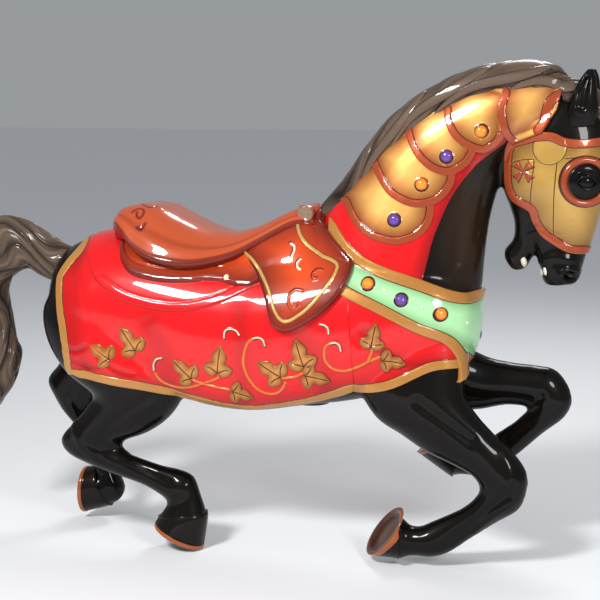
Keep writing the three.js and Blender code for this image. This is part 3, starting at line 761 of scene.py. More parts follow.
STRAP_LOW_EDGE = [
    (89, 268), (107, 258), (182, 224), (255, 187), (310, 164), (335, 140), (345, 115), (347, 88),
    (339, 78),
]
FIRST_EDGE = [
    (84, 445), (105, 413), (128, 391), (152, 377), (180, 369), (208, 366), (236, 373), (257, 385),
    (275, 406), (282, 428), (283, 449),
]
SECOND_EDGE = [
    (140, 535), (155, 508), (178, 476), (202, 458), (232, 446), (260, 445), (289, 453), (310, 472),
    (323, 495), (325, 510),
]
THIRD_EDGE = [
    (211, 606), (223, 577), (241, 548), (262, 528), (283, 516), (307, 511), (330, 517), (353, 535),
    (366, 558),
]
FOURTH_EDGE = [
    (297, 644), (299, 624), (311, 598), (329, 578), (353, 564), (382, 557), (408, 570), (422, 587),
]
CHEEK_EDGE = [(417, 679), (410, 653), (412, 627), (421, 596), (436, 575)]
CHEEK_BAND = [(537, 679), (515, 662), (504, 622), (493, 605)]
NECK_CLOTH_EDGE = [
    (426, 579), (376, 540), (357, 520), (335, 493), (313, 456), (295, 413), (282, 376), (273, 337),
    (262, 286),
]
FACE_EDGE = [
    (431, 582), (421, 552), (420, 517), (424, 483), (437, 459), (457, 446), (475, 436), (482, 416),
    (499, 389), (527, 369), (558, 353), (591, 349),
]
BROW_EDGE = [(465, 594), (498, 601), (525, 600), (549, 590), (582, 587), (617, 591)]
# Leaves: (x and z of the foot, direction in degrees, length).
LEAVES = [
    (-408, 103, 147, 64), (-349, 122, 124, 70), (-221, 68, 137, 66), (-166, 81, 83, 70),
    (-138, 49, -16, 54), (-21, 82, 148, 69), (26, 104, 107, 70), (21, 91, -12, 62),
    (165, 151, 79, 58), (185, 127, -8, 54),
]
# One half of a leaf's outline, as shares of its length: (along it, across it).
LEAF_EDGE = [
    (0.06, 0), (-0.05, 0.12), (-0.01, 0.3), (0.12, 0.44), (0.29, 0.47), (0.39, 0.34), (0.43, 0.2),
    (0.55, 0.25), (0.7, 0.22), (0.85, 0.1), (1, 0),
]
NECK_JEWELS = [(201, 417), (256, 491), (306, 549), (378, 603)]
STRAP_JEWELS = [(154, 286), (225, 255), (305, 225)]
STONE_RISE = 8  # how far a jewel's top stands over its setting

# ---- Blanket, apron and strap ----

BLANKET_FRONT = [(121, 53), (126, 70), (126, 110), (122, 170), (118, 230), (112, 300)]
# Folds: (side line, half width, height). Sunk folds get painted shade, raised ones a little painted
# highlight.
BLANKET_FOLDS = [
    ([(-505, 320), (-500, 230), (-490, 150), (-470, 90)], 22, -3),
    ([(-470, 250), (-462, 170), (-440, 90)], 20, 2.5),
    ([(-534, 130), (-500, 118), (-468, 130)], 5, -1.6),
    ([(-528, 96), (-490, 92), (-450, 84), (-420, 96)], 4, -1.6),
    ([(-440, 112), (-400, 84), (-360, 74)], 4, -1.6),
    ([(-320, 190), (-290, 120), (-280, 60)], 26, -2.5),
    ([(-120, 220), (-110, 140), (-112, 40)], 24, -2.2),
    ([(20, 170), (60, 110), (70, 60)], 26, -2.5),
]
APRON_FOLDS = [([(150, 190), (210, 130), (300, 112)], 14, -2), ([(120, 160), (170, 110)], 12, 2)]
CLOTH_BORDER = 19
VINES = [
    [(-294, 113), (-305, 110), (-312, 99), (-313, 85), (-309, 71), (-298, 58), (-278, 49), (-255, 48),
     (-226, 53), (-198, 63), (-164, 77)],
    [(-222, 69), (-204, 63), (-170, 56), (-142, 52)],
    [(-59, 152), (-63, 163), (-73, 168), (-85, 166), (-98, 156), (-105, 138), (-108, 116), (-104, 95),
     (-94, 74), (-78, 56), (-58, 47), (-39, 48), (-25, 58), (-17, 72)],
    [(-23, 83), (1, 86), (21, 96), (28, 105)],
    [(103, 146), (100, 157), (92, 163), (81, 161), (70, 154), (67, 138), (70, 122), (81, 109),
     (97, 103), (116, 104), (138, 112), (159, 124), (189, 136)],
    [(167, 154), (165, 141), (157, 124)],
]
# Painted highlights where the light catches on the vines' curled ends and on two strokes of their own.
HOOKS = [
    [(-150, 165), (-149, 177), (-143, 183), (-133, 184), (-123, 180), (-117, 172)],
    [(58, 201), (68, 199), (75, 193), (77, 182)],
    *(vine[:4] for vine in VINES if len(vine) > 6),
]


def add_vines(sheet):
    for vine in VINES:
        sheet.stroke(curve(vine, 3), 3.8, 0.2, DEEP, edge=0.5)
        sheet.stroke(curve(vine, 3), 3, 2.2, VINE, edge=1.8)
    # Each hook: a painted shadow in dark line, shifted down and towards the head, under a cream painted
    # highlight.
    for hook in HOOKS:
        path = curve(hook, 2)
        sheet.stroke(path + (1.5, -1.8), 2.2, 0, LINE, edge=0.6)
        sheet.stroke(path, 1.8, 2.4, CREAM, edge=1.3)


def torso_only(middle):
    """Leaves out what would lie on the raised left foreleg."""
    x, y, z = middle.T
    return (x < 374) & ~((x > 300) & (z < 150) & (y > 30))


def make_caparison():
    shape = outline(BLANKET_REAR, HEM, BLANKET_FRONT, [(40, 400), (0, 430)], [(-500, 430), (-518, 343)])
    blanket = Sheet(shape, 6.5, RED, edge=2.5)
    path = [(x, z - 9 * math.exp(-(((x + 100) / 150) ** 2))) for x, z in BLANKET_REAR + HEM[1:]]
    bordered(blanket, path + [(160, 50)], CLOTH_BORDER)
    add_vines(blanket)
    # Painted shadow darkens the red along the inside of its gold border.
    blanket.build("blanket", 26, CLOTH_BORDER, BLANKET_FOLDS, 0.5, path)

    shape = outline([(108, 180), (108, 60)], APRON_HEM, [(420, 112), (420, 200)], [(300, 262), (104, 350)])
    apron = Sheet(shape, 4, RED, edge=2, region=torso_only)
    bordered(apron, APRON_HEM, CLOTH_BORDER)
    add_vines(apron)
    # Painted shadow darkens the red along the inside of its gold border.
    apron.build("apron", 26, CLOTH_BORDER, APRON_FOLDS, 0.5, APRON_HEM)

    shape = outline(
        [(0, 480), (20, 400)], [(200, 270), (262, 286)], NECK_CLOTH_EDGE[::-1], [(440, 600), (380, 690)],
        [(200, 640), (60, 560)],
    )
    Sheet(shape, 2, RED, edge=1.5).build("neck_cloth", centre=30)


STRAP_TIP = [(333, 136), (338, 112), (337, 90), (327, 72)]  # narrows the lower border
STRAP_LIFT = 8
PEARLS = [(189, 271), (267, 239), (350, 205)]
JEWEL_SEAT = 15.5  # radius of the dark ring round a jewel


def make_strap():
    shape = outline(
        STRAP_TOP_EDGE + [(420, 272)], [(430, 120)], STRAP_LOW_EDGE[::-1], [(60, 290), (50, 420)]
    )
    strap = Sheet(shape, STRAP_LIFT, MINT, edge=2.5, region=torso_only)
    bordered(strap, STRAP_TOP_EDGE + [(372, 268), (420, 272)], 22)
    bordered(strap, STRAP_LOW_EDGE[:-4] + STRAP_TIP, 21)
    for x, z in STRAP_JEWELS:
        strap.patch(circle(x, z, JEWEL_SEAT), 0.8, LINE, edge=0.6)
    strap.build("breast_strap", centre=20, rim=22)
    pearl = dome(3.2, 2.4, 2, rings=5, sides=16)
    pearls = []
    for side in BOTH:
        for x, z in PEARLS:
            place, facing = skin_at(x, z, side)
            pearls.append(aimed(pearl, place + facing * STRAP_LIFT, facing))
    make_piece("strap_pearls", merged(pearls), [CREAM], 0.9)


# ---- Saddle ----

FLAP_MARKS = [
    [(-22, 362), (-14, 358), (-12, 348), (-16, 336)],
    [(4, 331), (-2, 324), (0, 316), (7, 312)],
    [(58, 311), (47, 312), (38, 304), (41, 295), (48, 296)],
    [(21, 270), (5, 271), (-7, 259), (-7, 244), (4, 232), (16, 238), (15, 247), (7, 246)],
]
# Marks on the seat: (x, share of the half width) for each point.
SEAT_SCROLLS = [
    [(-382, 0.72), (-374, 0.62), (-363, 0.59), (-355, 0.66), (-359, 0.75), (-368, 0.75), (-371, 0.68)],
    [(-363, 0.86), (-351, 0.86), (-344, 0.78)],
    [(-373, 0.38), (-365, 0.46), (-353, 0.5), (-342, 0.46), (-339, 0.37)],
]
SEAT_STUDS = [(-328, 0.42), (-225, 0.8), (-196, 0.74)]
SCROLL_HALF, SCROLL_DEPTH = 3.6, 2.4
STUD_RADIUS, STUD_RISE = 5, 3
SEAT_LIP, SEAT_FILL = 19, 84  # depth of the seat's body at its edge and in its middle
SEAT_BORE = 24  # radius of the seat's hole for the pole
SEAT_BEAD = (0.93, 0.035, 4)  # place and width in half widths, and height, of the ridge at its rim
SEAT_ROLL = [(2.5, -3), (3.5, -8), (1, -13), (-6, -17)]  # the rolled edge, from the rim downwards


def seat_ring(x, height, half, droop, rim, count=110):
    """One section of the seat, dished inside a raised bead, with a rolled edge."""
    v = np.linspace(-1, 1, count + 1)
    place, width, rise = SEAT_BEAD
    top = height + rim * np.sin(math.pi * v * v) - droop * v * v * np.abs(v)
    bead = rise * min(1, half / 90) * np.exp(-(((np.abs(v) - place) / width) ** 2))
    upper = np.stack([np.full_like(v, x), v * half, top + bead], 1)
    roll = np.array([(x, half + out, top[-1] + down) for out, down in SEAT_ROLL])
    w = np.linspace(0.88, -0.88, 31)
    under = np.interp(w, v, top) - SEAT_LIP - (SEAT_FILL - SEAT_LIP) * (1 - w**4)
    lower = np.stack([np.full_like(w, x), w * half, under], 1)
    return np.concatenate([upper, roll, lower, (roll * (1, -1, 1))[::-1]])


def make_seat():
    steps = 12
    rows = np.array([row_at(SEAT, i / steps) for i in range(steps * (len(SEAT) - 1) + 1)])
    points, faces = closed_tube([seat_ring(*row) for row in rows])
    normals = normals_of(points, faces)

    def half_at(x):
        return np.interp(x, rows[:, 0], rows[:, 2])

    out = np.abs(points[:, 1]) / half_at(points[:, 0])
    upper = normals[:, 2] > 0.2
    flat = np.stack([points[:, 0], np.zeros(len(points)), np.abs(points[:, 1])], 1)
    mark = np.zeros(len(points))
    for scroll in SEAT_SCROLLS:
        line = curve([(x, v * half_at(x)) for x, v in scroll], 3)
        gap = nearest(flat, line, SCROLL_HALF)[0]
        mark = np.maximum(mark, np.clip(1 - gap / SCROLL_HALF, 0, 1) * upper)
    raised = np.zeros(len(points))
    for x, v in SEAT_STUDS:
        gap = np.hypot(flat[:, 0] - x, flat[:, 2] - v * half_at(x))
        raised = np.maximum(raised, np.clip(1 - gap / STUD_RADIUS, 0, 1) * upper)
    points = points + normals * (STUD_RISE * raised - SCROLL_DEPTH * mark)[:, None]
    place, width, _ = SEAT_BEAD
    # Painted shade: a darker line just inside the bead, the rolled edge dark, the underside nearly black,
    # and the scroll grooves darker.
    shade = 0.75 - 0.3 * np.exp(-(((out - place + 2.2 * width) / width) ** 2)) - mark
    shade = np.where(out > 0.99, 0.12, shade)
    shade = np.where(normals[:, 2] < -0.1, 0.02, shade)[:, None]
    around = np.hypot(points[:, 0], points[:, 1])[:, None]
    points, faces, (shade, around) = split(points, faces, around[:, 0], SEAT_BORE, [shade, around])
    faces = faces[around[faces].mean(1)[:, 0] > SEAT_BORE]
    make_piece("seat", (points, faces), [SEAT_TAN], shade[:, 0])


def make_saddle():
    shape = outline([(-505, 400), (-482, 320)] + PAD_EDGE, [(-30, 310), (30, 440)], [(-440, 450)])
    pad = Sheet(shape, 9, RED, edge=5, region=lambda middle: middle[:, 0] > -500)
    pad.stroke(curve(PAD_EDGE), 21, 1.8, None, edge=5)
    pad.stroke(curve(PAD_EDGE), 24, -0.8, None, edge=2)
    pad.build("saddle_pad", centre=10, floor=0.5)

    shape = outline(SADDLE_BASE, [(-60, 300), (0, 420)], [(-300, 430), (-420, 400)])
    base = Sheet(shape, 17, TAN, edge=8, region=lambda middle: middle[:, 0] < 80)
    base.stroke(curve([(x, z + 26) for x, z in SADDLE_BASE[1:-2]]), 2.5, -2, None, edge=2)
    base.patch(circle(-155, 291, 5.5, 20), 3, CREAM, edge=3)
    base.build("saddle_base")

    shape = outline(FLAP, [(20, 434), (-20, 422)], [(-80, 400), (-150, 378)])
    flap = Sheet(shape, 23, TAN, edge=6, region=lambda middle: middle[:, 2] > 150)
    flap.stroke(curve(FLAP_LINE), 4.6, 0, DEEP, edge=0.6)
    flap.stroke(curve(FLAP_LINE), 3.4, 2.4, INLAY, edge=1.6)
    # Each mark: a painted shadow in dark line, shifted up and towards the tail, under a raised stroke; the
    # short marks are cream painted highlights.
    for line in FLAP_MARKS:
        path = curve(line, 2)
        flap.stroke(path + (-1.6, 1.2), 3.6, 0, LINE, edge=0.6)
        flap.stroke(path, 2.6, 2.6, CREAM if len(line) < 5 else TAN, edge=1.7)
    flap.build("saddle_flap", centre=80)
    make_seat()


# ---- Neck plates and face plate ----

# The plates from the withers up: the scalloped edge, and the stretches that close the outline.
PLATES = [
    (FIRST_EDGE, [[(284, 470), (180, 570)], [(100, 510), (60, 460)]]),
    (SECOND_EDGE, [[(328, 530), (240, 620)], [(150, 580), (135, 545)]]),
    (THIRD_EDGE, [[(368, 570), (340, 650)], [(260, 680), (205, 625)]]),
    (FOURTH_EDGE, [[(428, 600), (430, 690)], [(330, 720), (297, 664)]]),
    (CHEEK_EDGE, [[(500, 600), (530, 650)], [(545, 720), (480, 730)], [(425, 720), (417, 700)]]),
]
PLATE_BORDER, FACE_BORDER = 15.5, 17
PANEL_LINES = [
    [(426, 528), (442, 539), (459, 544), (485, 546)],
    [(547, 547), (558, 549), (578, 550), (620, 548)],
    [(486, 544), (483, 503), (480, 478), (479, 452)],
    [(533, 540), (529, 489), (527, 437), (527, 375)],
]
CHEEK_DISC, CHEEK_RADIUS = (517, 570), 34
CROSS_PLACE, CROSS_ARM = (463, 521), 25
EYE_PLACE = (590, 501)


def cross_arms():
    """Four arms of a cross pattee, from its middle outwards."""
    arms = []
    for quarter in range(4):
        angle = math.radians(45 + 90 * quarter)
        c, s = math.cos(angle), math.sin(angle)
        shape = [(1.5, 1.2), (CROSS_ARM, 10), (CROSS_ARM - 4, 0), (CROSS_ARM, -10), (1.5, -1.2)]
        x, z = CROSS_PLACE
        arms.append([(x + a * c - b * s, z + a * s + b * c) for a, b in shape])
    return arms


def make_armour():
    for number, (edge, rest) in enumerate(PLATES):
        plate = Sheet(outline(edge, *rest), 4 + 1.5 * number, PLATE, edge=1.5)
        bordered(plate, edge, PLATE_BORDER, rise=1, material=COPPER)
        if edge is CHEEK_EDGE:
            plate.stroke(curve(CHEEK_BAND), 11, 0, LINE, edge=0.5)
            plate.stroke(curve(CHEEK_BAND), 9.5, 1.2, COPPER, edge=1)
        for x, z in NECK_JEWELS:
            plate.patch(circle(x, z, JEWEL_SEAT), 0.6, LINE, edge=0.6)
        plate.build(f"neck_plate_{number + 1}", centre=40, rim=PLATE_BORDER)

    shape = outline(FACE_EDGE, [(620, 348), (690, 510)], [(690, 600), (640, 592)], BROW_EDGE[::-1])
    face = Sheet(shape, 4, OLIVE, edge=2, region=lambda middle: middle[:, 0] > 405)
    for line in PANEL_LINES:
        face.stroke(curve(line), 1, -0.7, LINE, edge=0.5)
    face.patch(circle(*CHEEK_DISC, CHEEK_RADIUS + 1.5), 0, LINE, edge=0.5)
    face.patch(circle(*CHEEK_DISC, CHEEK_RADIUS), 0.8, OLIVE, edge=1)
    bordered(face, FACE_EDGE[::-1] + BROW_EDGE, FACE_BORDER, rise=1.6, material=COPPER)
    # A painted shadow of the cross in dark line, shifted down and towards the head, under the raised
    # copper arms.
    for arm in cross_arms():
        face.patch([(x + 1.5, z - 2) for x, z in arm], 0, LINE, edge=0.5)
    for arm in cross_arms():
        face.patch(arm, 2.6, COPPER, edge=2)
    face.patch(circle(*EYE_PLACE, 54), 0, LINE, edge=0.5)
    face.build("face_plate", rim=FACE_BORDER)


# ---- Round things ----


def turned(profile, sides):
    """Rings round Z, one for each (radius, height)."""
    turn = 2 * math.pi * np.arange(sides) / sides
    c, s = np.cos(turn), np.sin(turn)
    return [np.stack([r * c, r * s, np.full(sides, float(h))], 1) for r, h in profile]


def lathe(profile, sides=40):
    return closed_tube(turned(profile, sides))


def dome(radius, rise, foot, rings=9, sides=36):
    """A rounded button on a foot that goes into what carries it."""
    angle = np.linspace(0, math.pi / 2, rings + 1)[:-1]
    profile = [(radius, -foot)] + [(radius * math.cos(a), rise * math.sin(a)) for a in angle]
    return lathe(profile + [(0.02 * radius, rise)], sides)


def aimed(part, place, facing):
    points, faces = part
    turn = Vector(facing).to_track_quat("Z", "Y").to_matrix()
    return points @ np.array(turn).T + np.array(place), faces


def bow(line, place, facing, radius, rings=18, sides=10):
    """A tapering ridge along a line given in an eye's own plane, in (along X, up, out)."""
    out = unit(np.asarray(facing, float))
    ahead = unit(np.cross(np.cross(out, (1, 0, 0)), out))
    up = np.cross(out, ahead) * (1 if np.cross(out, ahead)[2] > 0 else -1)
    path = np.array([row_at(line, t) for t in np.linspace(0, len(line) - 1, rings)])
    centres = place + path[:, :1] * ahead + path[:, 1:2] * up + path[:, 2:] * out
    tangents = unit(np.gradient(centres, axis=0))
    across = unit(np.cross(tangents[0], (0.3, 1, 0.2)))
    turn = 2 * math.pi * np.arange(sides) / sides
    made = []
    for centre, tangent, f in zip(centres, tangents, np.linspace(0.04, 0.96, rings)):
        across = unit(across - tangent * (across @ tangent))
        other = np.cross(tangent, across)
        ring = np.outer(np.cos(turn), across) + np.outer(np.sin(turn), other)
        made.append(centre + radius * np.sin(math.pi * f) ** 0.6 * ring)
    return closed_tube(made)


# The eyelids and the fold above them, as (along X, up, out) points in the eye's plane.
LIDS = [
    [(-21, 1, 9), (-14, 9, 14), (0, 14, 16), (13, 9, 14), (20, -2, 9)],
    [(-20, -3, 8), (-11, -11, 12), (2, -14, 13), (14, -9, 11), (20, -3, 8)],
    [(-27, 9, 5), (-15, 20, 8), (2, 25, 9), (18, 19, 7)],
]
EYE_RING = [(51, -14), (52, 0), (50.5, 4.5), (46, 6.5), (41, 6), (37.5, 2.5), (36, -14)]


def make_eyes():
    for side, name in ((-1, "right"), (1, "left")):
        place, facing = skin_at(*EYE_PLACE, side)
        facing = unit(facing + (0.05, side * 0.6, 0))
        place = place + facing * 2.0
        ring = aimed(lathe(EYE_RING, 56), place, facing)
        make_piece(f"eye_ring_{name}", ring, [COPPER], 0.7)
        socket = aimed(dome(37, 8, 12, rings=10, sides=48), place, facing)
        ball = aimed(dome(17, 12, 4, rings=12, sides=40), place + facing * 5, facing)
        lids = [bow(line, place, facing, 3.4) for line in LIDS]
        make_piece(f"eye_{name}", merged([socket, ball, *lids]), [BLACK], 0)


def make_jewels():
    """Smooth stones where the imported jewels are, amber and violet by turns."""
    for name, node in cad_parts.items():
        if name == "horse":
            continue
        corners = np.array([v.co for v in node.data.vertices]) / MM
        centre = corners.mean(0)
        if name.startswith("chest"):
            facing = np.array([1.0, 0, -0.1])
        else:
            facing = skin_at(centre[0], centre[2], 1 if "left" in name else -1)[1]
        facing = unit(facing)
        place = centre + facing * ((corners @ facing).max() - centre @ facing - STONE_RISE)
        violet = name.startswith("chest") or name[-1] in ("13" if name.startswith("neck") else "2")
        points, faces = aimed(dome(13, STONE_RISE, 9), place, facing)
        # Painted light: each stone lighter towards its top and darker at its foot.
        shade = np.clip((points - place) @ facing / STONE_RISE, 0, 1)
        stone, slot = (VIOLET, "violet_glass") if violet else (AMBER, "amber_glass")
        gem = make_piece(name + "_stone", (points, faces), [stone], shade)
        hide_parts(name)


def open_tube(profile, sides=48):
    """A ring-shaped form: the profile is a closed loop of (radius, height)."""
    count, k = len(profile), np.arange(sides)
    start = (sides * np.arange(count))[:, None]
    after = (sides * ((np.arange(count) + 1) % count))[:, None]
    n = (k + 1) % sides
    a, b, c, d = ((start + k).ravel(), (start + n).ravel(), (after + n).ravel(), (after + k).ravel())
    faces = np.concatenate([np.stack([a, b, c], 1), np.stack([a, c, d], 1)])
    return np.concatenate(turned(profile, sides)), faces


COLLAR_RADIUS, COLLAR_TOP, BELLY_SEAT_RADIUS = 28, 437, 40


def make_pole_socket():
    """The collar at the pommel, the flat ring under the belly and the bore between them."""
    bore, collar, top, seat = BORE_RADIUS, COLLAR_RADIUS, COLLAR_TOP, BELLY_SEAT_RADIUS
    profile = [
        (bore, 0), (seat - 1.5, 0), (seat, 1.5), (seat, 36), (bore + 2, 44), (bore + 2, 340),
        (collar, 350), (collar, top - 2), (collar - 1.5, top), (bore + 1, top), (bore, top - 1),
    ]
    points, faces = open_tube(profile)
    index = points[faces].mean(1)[:, 2] > 345
    make_piece("pole_socket", (points, faces), [BLACK, SEAT_TAN], 0.5, index)


POMMEL_PLACE, POMMEL_RADIUS, POMMEL_HALF = (-3, 0, 422), 18, 49


def make_pommel():
    """The roll across the front of the seat, with a plain disc at each end."""
    radius, half = POMMEL_RADIUS, POMMEL_HALF
    disc = [(0.3, half), (radius - 5, half), (radius - 4, half + 1), (radius - 1.5, half)]
    profile = disc + [(radius, half - 3)]
    profile += [(r, -h) for r, h in profile[::-1]]
    points, faces = lathe(profile[::-1])
    points = points[:, [0, 2, 1]] * (1, 1, -1) + POMMEL_PLACE
    index = np.abs(points[faces].mean(1)[:, 1]) > half - 2
    make_piece("pommel_roll", (points, faces), [SEAT_TAN, TAUPE], 0.6, index)


# ---- Leaves ----


def leaf_shape(x, z, degrees, length, shape):
    angle = math.radians(degrees)
    c, s = math.cos(angle), math.sin(angle)
    return [(x + length * (a * c - b * s), z + length * (a * s + b * c)) for a, b in shape]


LEAF_VEINS = [
    [(0, 0), (0.45, 0.01), (0.86, 0)],
    [(0.1, 0.02), (0.2, 0.18), (0.24, 0.34)],
    [(0.1, -0.02), (0.2, -0.18), (0.24, -0.34)],
]


def make_leaves():
    edge = LEAF_EDGE + [(a, -b) for a, b in LEAF_EDGE[-2:0:-1]]
    for number, leaf in enumerate(LEAVES):
        rim = curve(leaf_shape(*leaf, edge), step=3, closed=True)
        sheet = Sheet(rim, 9, LEAF, edge=3.2)
        for vein in LEAF_VEINS:
            sheet.stroke(curve(leaf_shape(*leaf, vein), 3), 1.1, -1.4, LINE, edge=0.9)
        sheet.build(f"leaf_{number + 1}", centre=13)


# ---- Hair ----


def groove(phase, power=0.6):
    """From 0 in the bottom of a groove to 1 on the lock between two."""
    return (0.5 - 0.5 * np.cos(2 * math.pi * phase)) ** power


def hair_form(rows, sides, steps, locks, lean, depth, wave):
    """A tress with locks that lean from its upper edge to its lower one, alike on both sides."""
    count = (len(rows) - 1) * steps
    rings, shades = [], []
    angle = 2 * math.pi * np.arange(sides) / sides
    from_top = np.abs((angle - math.pi / 2 + math.pi) % (2 * math.pi) - math.pi) / math.pi
    for i in range(count + 1):
        t = i / steps
        row = row_at(rows, t)
        ring = rib_ring(row, sides)
        phase = locks * from_top + lean * t + wave * np.sin(1.7 * t + 5 * from_top)
        large = groove(phase, 0.4)
        small = groove(2.6 * phase + 0.4 * np.sin(2.3 * t), 0.5)
        ends = min(1.0, 0.25 + 3 * min(i, count - i) / count)
        centre = ring.mean(0)
        size = min(row[4], math.hypot(row[0] - row[2], row[1] - row[3]) / 2)
        sink = ends * (depth * (1 - large) + 0.35 * depth * (1 - small)) * min(1, size / 30)
        out = unit(ring - centre)
        rings.append(ring - out * sink[:, None])
        # Painted shade: darker in the grooves between the locks, lighter on the locks.
        shades.append(np.clip(0.05 + 0.65 * large * (0.6 + 0.4 * small), 0, 1))
    points, faces = closed_tube(rings)
    return points, faces, np.concatenate([*shades, [0.5, 0.5]])


def surface_lock(rows, start, end, width, thick, bend, sides=12, rings=30):
    """A pointed lock lying on a tress: start and end are (t along, angle round) in degrees."""
    centres, outs = [], []
    for f in np.linspace(0, 1, rings):
        t = start[0] + (end[0] - start[0]) * f
        degrees = start[1] + (end[1] - start[1]) * (f + bend * math.sin(2 * math.pi * f) / 6)
        ring = rib_ring(row_at(rows, max(t, 0)), 72)
        k = degrees / 5
        a, b = ring[int(k) % 72], ring[(int(k) + 1) % 72]
        spot = a + (b - a) * (k - int(k))
        outs.append(unit(spot - ring.mean(0)))
        centres.append(spot)
    centres, outs = np.array(centres), np.array(outs)
    tangents = unit(np.gradient(centres, axis=0))
    turn = 2 * math.pi * np.arange(sides) / sides
    rows_out = []
    for f, centre, out, tangent in zip(np.linspace(0, 1, rings), centres, outs, tangents):
        across = unit(np.cross(tangent, out))
        out = np.cross(across, tangent)
        size = math.sin(math.pi * min(1, 0.06 + 0.94 * f) ** 0.7) ** 0.8 if f < 1 else 0.02
        ridge = 1 + 0.18 * np.cos(3 * turn)
        ring = np.outer(np.cos(turn) * ridge * width * size, across)
        ring += np.outer(np.sin(turn) * ridge * thick * size, out)
        rows_out.append(centre + ring)
    points, faces = closed_tube(rows_out)
    # Painted light: each lock lighter on its outer side and darker underneath.
    lit = np.tile(0.35 + 0.35 * np.sin(turn), rings)
    return points, faces, np.concatenate([lit, [0.4, 0.4]])


def joined_hair(name, forms):
    points, faces = merged([(p, f) for p, f, _ in forms])
    make_piece(name, (points, faces), [HAIR], np.concatenate([s for _, _, s in forms]))


MANE_HANG = 0.22  # how much further the mane's tips hang than its packed form
# Start along the crest, length, angle down the side at the tip, and width of each lock.
MANE_LOCKS = [
    (12.2, 4.6, 218, 12), (9.8, 5.2, 226, 11), (7.4, 4.6, 220, 11), (5.2, 3.9, 226, 10),
]


def hanging(row):
    ux, uz, lx, lz, half, *rest = row
    return (ux, uz, lx + MANE_HANG * (lx - ux), lz + MANE_HANG * (lz - uz), half * 1.16, *rest)


def make_hair():
    rows = [hanging(row) for row in MANE]
    mane = [hair_form(rows, 160, 16, locks=2.2, lean=0.36, depth=5, wave=0.4)]
    for start, length, tip, width in MANE_LOCKS:
        for near in (True, False):
            angles = (128, tip) if near else (52, 180 - tip)
            first, last = (start, angles[0]), (max(start - length, 0.4), angles[1])
            mane.append(surface_lock(rows, first, last, width, 2.2, 0.8))
    joined_hair("mane", mane)
    joined_hair("tail", [hair_form(TAIL, 160, 16, locks=4, lean=0.2, depth=8, wave=0.4)])


# ---- Hooves ----


SOLE_STEPS = [(0.97, -1.0), (0.85, -1.0), (0.8, 3), (0.74, 9), (0.5, 10), (0.2, 7)]


def make_hoof(name, rows, rim):
    """The horn of one hoof, with a copper rim of the given height round a hollow sole."""
    sides = 64
    part = rows[-3:]
    rings = [rib_ring(row_at(part, t), sides, 1.2) for t in np.linspace(0, 2, 17)]
    top = rings[0].mean(0)
    rings[0] = top + (rings[0] - top) * 0.9
    rings[1] = top + (rings[1] - top) * 1.05
    sole, above = rings[-1], rings[-4]
    centre = sole.mean(0)
    down = unit(centre - above.mean(0))
    rise = unit(above - sole)
    rings = rings[:-3] + [sole + rise * rim, sole + rise * (rim - 1) + unit(sole - centre)]
    rings += [sole + unit(sole - centre) * 0.8 + rise * 2, sole]
    first_sole = len(rings)
    rings += [centre + (sole - centre) * scale - down * depth for scale, depth in SOLE_STEPS]
    points, faces = closed_tube(rings)
    low, high = faces.min(1) // sides, faces.max(1) // sides
    walls = high < len(rings)
    index = np.zeros(len(faces), int)
    index[walls & (high > first_sole - 4) & (low < first_sole)] = 1
    index[walls & (low >= first_sole)] = 2
    index[(faces == len(rings) * sides + 1).any(1)] = 2
    shade = np.full(len(points), 0.1)
    shade[(first_sole - 3) * sides :] = 0.7
    shade[(first_sole + 2) * sides :] = 0.25
    shade[(len(rings) - 2) * sides :] = 0.6
    make_piece(f"hoof_{name}", (points, faces), [BLACK, HOOF, SOLE], shade, index)


def make_hooves():
    make_hoof("right_hind", NEAR_HIND, 9)
    make_hoof("left_hind", FAR_HIND, 9)
    make_hoof("right_fore", NEAR_FORE, 13)
    make_hoof("left_fore", FAR_FORE, 9)


# ---- Mouth ----


# The front teeth of one side, from the corner of the mouth to the middle.
UPPER_TEETH = [(511, -31, 312), (505, -19, 309), (502, -6, 307)]
LOWER_TEETH = [(466, -27, 331), (463, -16, 327), (461, -5, 325)]


def teeth_row(places, forwards, down, tall):
    """Buttons stretched to the height of teeth, across the mouth."""
    places = places + [(x, -y, z) for x, y, z in places[::-1]]
    points, faces = dome(6.2, 5, 5, rings=7, sides=20)
    points = np.where(np.arange(3) == 1, points * tall, points)
    return [aimed((points, faces), place, (forwards, place[1] / 60, down)) for place in places]


def make_mouth():
    teeth = teeth_row(UPPER_TEETH, -1, -0.25, 1.7) + teeth_row(LOWER_TEETH, 1, 0.3, 1.5)
    make_piece("teeth", merged(teeth), [TOOTH], 0.7)


# ---- Assembly ----


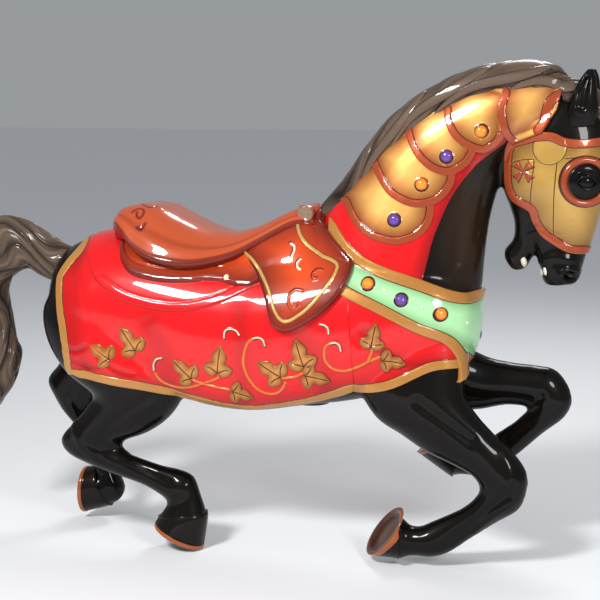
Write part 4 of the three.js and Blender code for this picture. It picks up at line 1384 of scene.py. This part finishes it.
def make_hide():
    """The bare horse, without what the blanket and saddle cover."""
    cover = outline(BLANKET_REAR, HEM, [(121, 90), (112, 300)], [(0, 400), (-500, 430)])
    hidden = depth_in(skin_points, cover) > 14  # mm inside the blanket's edge
    keep = ~hidden[skin_faces].all(1)
    ear = make_ear()
    points, faces = merged([used_only(skin_points, skin_faces[keep]), ear, mirrored(ear)])
    throat = np.exp(-(((points[:, 0] - 345) / 45) ** 2) - ((points[:, 2] - 400) / 150) ** 2)
    hide = make_piece("hide", (points, faces), [BLACK], 0.03 + 0.55 * throat)
    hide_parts("horse")


make_hide()
make_caparison()
make_strap()
make_saddle()
make_armour()
make_eyes()
make_jewels()
make_leaves()
make_hair()
make_hooves()
make_mouth()
make_pommel()
make_pole_socket()

# ---- Stage ----


FLOOR_HALF, FLOOR_GAP = 30.0, 0.002  # half its side, and how far it is under the lowest hoof
# Lamps: (name, place, diameter, watts), in metres, all aimed at the saddle.
LAMPS = [
    ("key", (-1.0, -2.8, 2.4), 0.7, 110),
    ("fill", (2.2, -2.6, 1.4), 0.8, 40),
    ("rim", (0.3, 2.4, 2.6), 1.2, 36),
]


def make_stage():
    half, low = FLOOR_HALF, cad_low.z - FLOOR_GAP
    mesh = bpy.data.meshes.new("floor")
    corners = [(-half, -half, low), (half, -half, low), (half, half, low), (-half, half, low)]
    mesh.from_pydata(corners, [], [(0, 1, 2, 3)])
    material = bpy.data.materials.new("studio_floor")
    material.use_nodes = True
    tree = material.node_tree
    matt = {"Base Color": (0.9, 0.91, 0.93, 1), "Roughness": 0.9}
    set_inputs(tree, tree.nodes["Principled BSDF"], matt)
    mesh.materials.append(material)
    floor = add_object("floor", mesh)


def make_lights():
    world = bpy.data.worlds.new("studio")
    world.use_nodes = True
    tree = world.node_tree
    set_inputs(tree, tree.nodes["Background"], {"Color": (0.92, 0.96, 1.0, 1), "Strength": 0.34})
    bpy.context.scene.world = world
    bpy.context.scene.view_settings.view_transform = "Standard"
    for name, place, size, power in LAMPS:
        lamp = bpy.data.lights.new(name, "AREA")
        lamp.shape, lamp.size, lamp.energy = "DISK", size, power
        aim(add_object(name, lamp), place, (0, 0, 0.2))


make_stage()
make_lights()
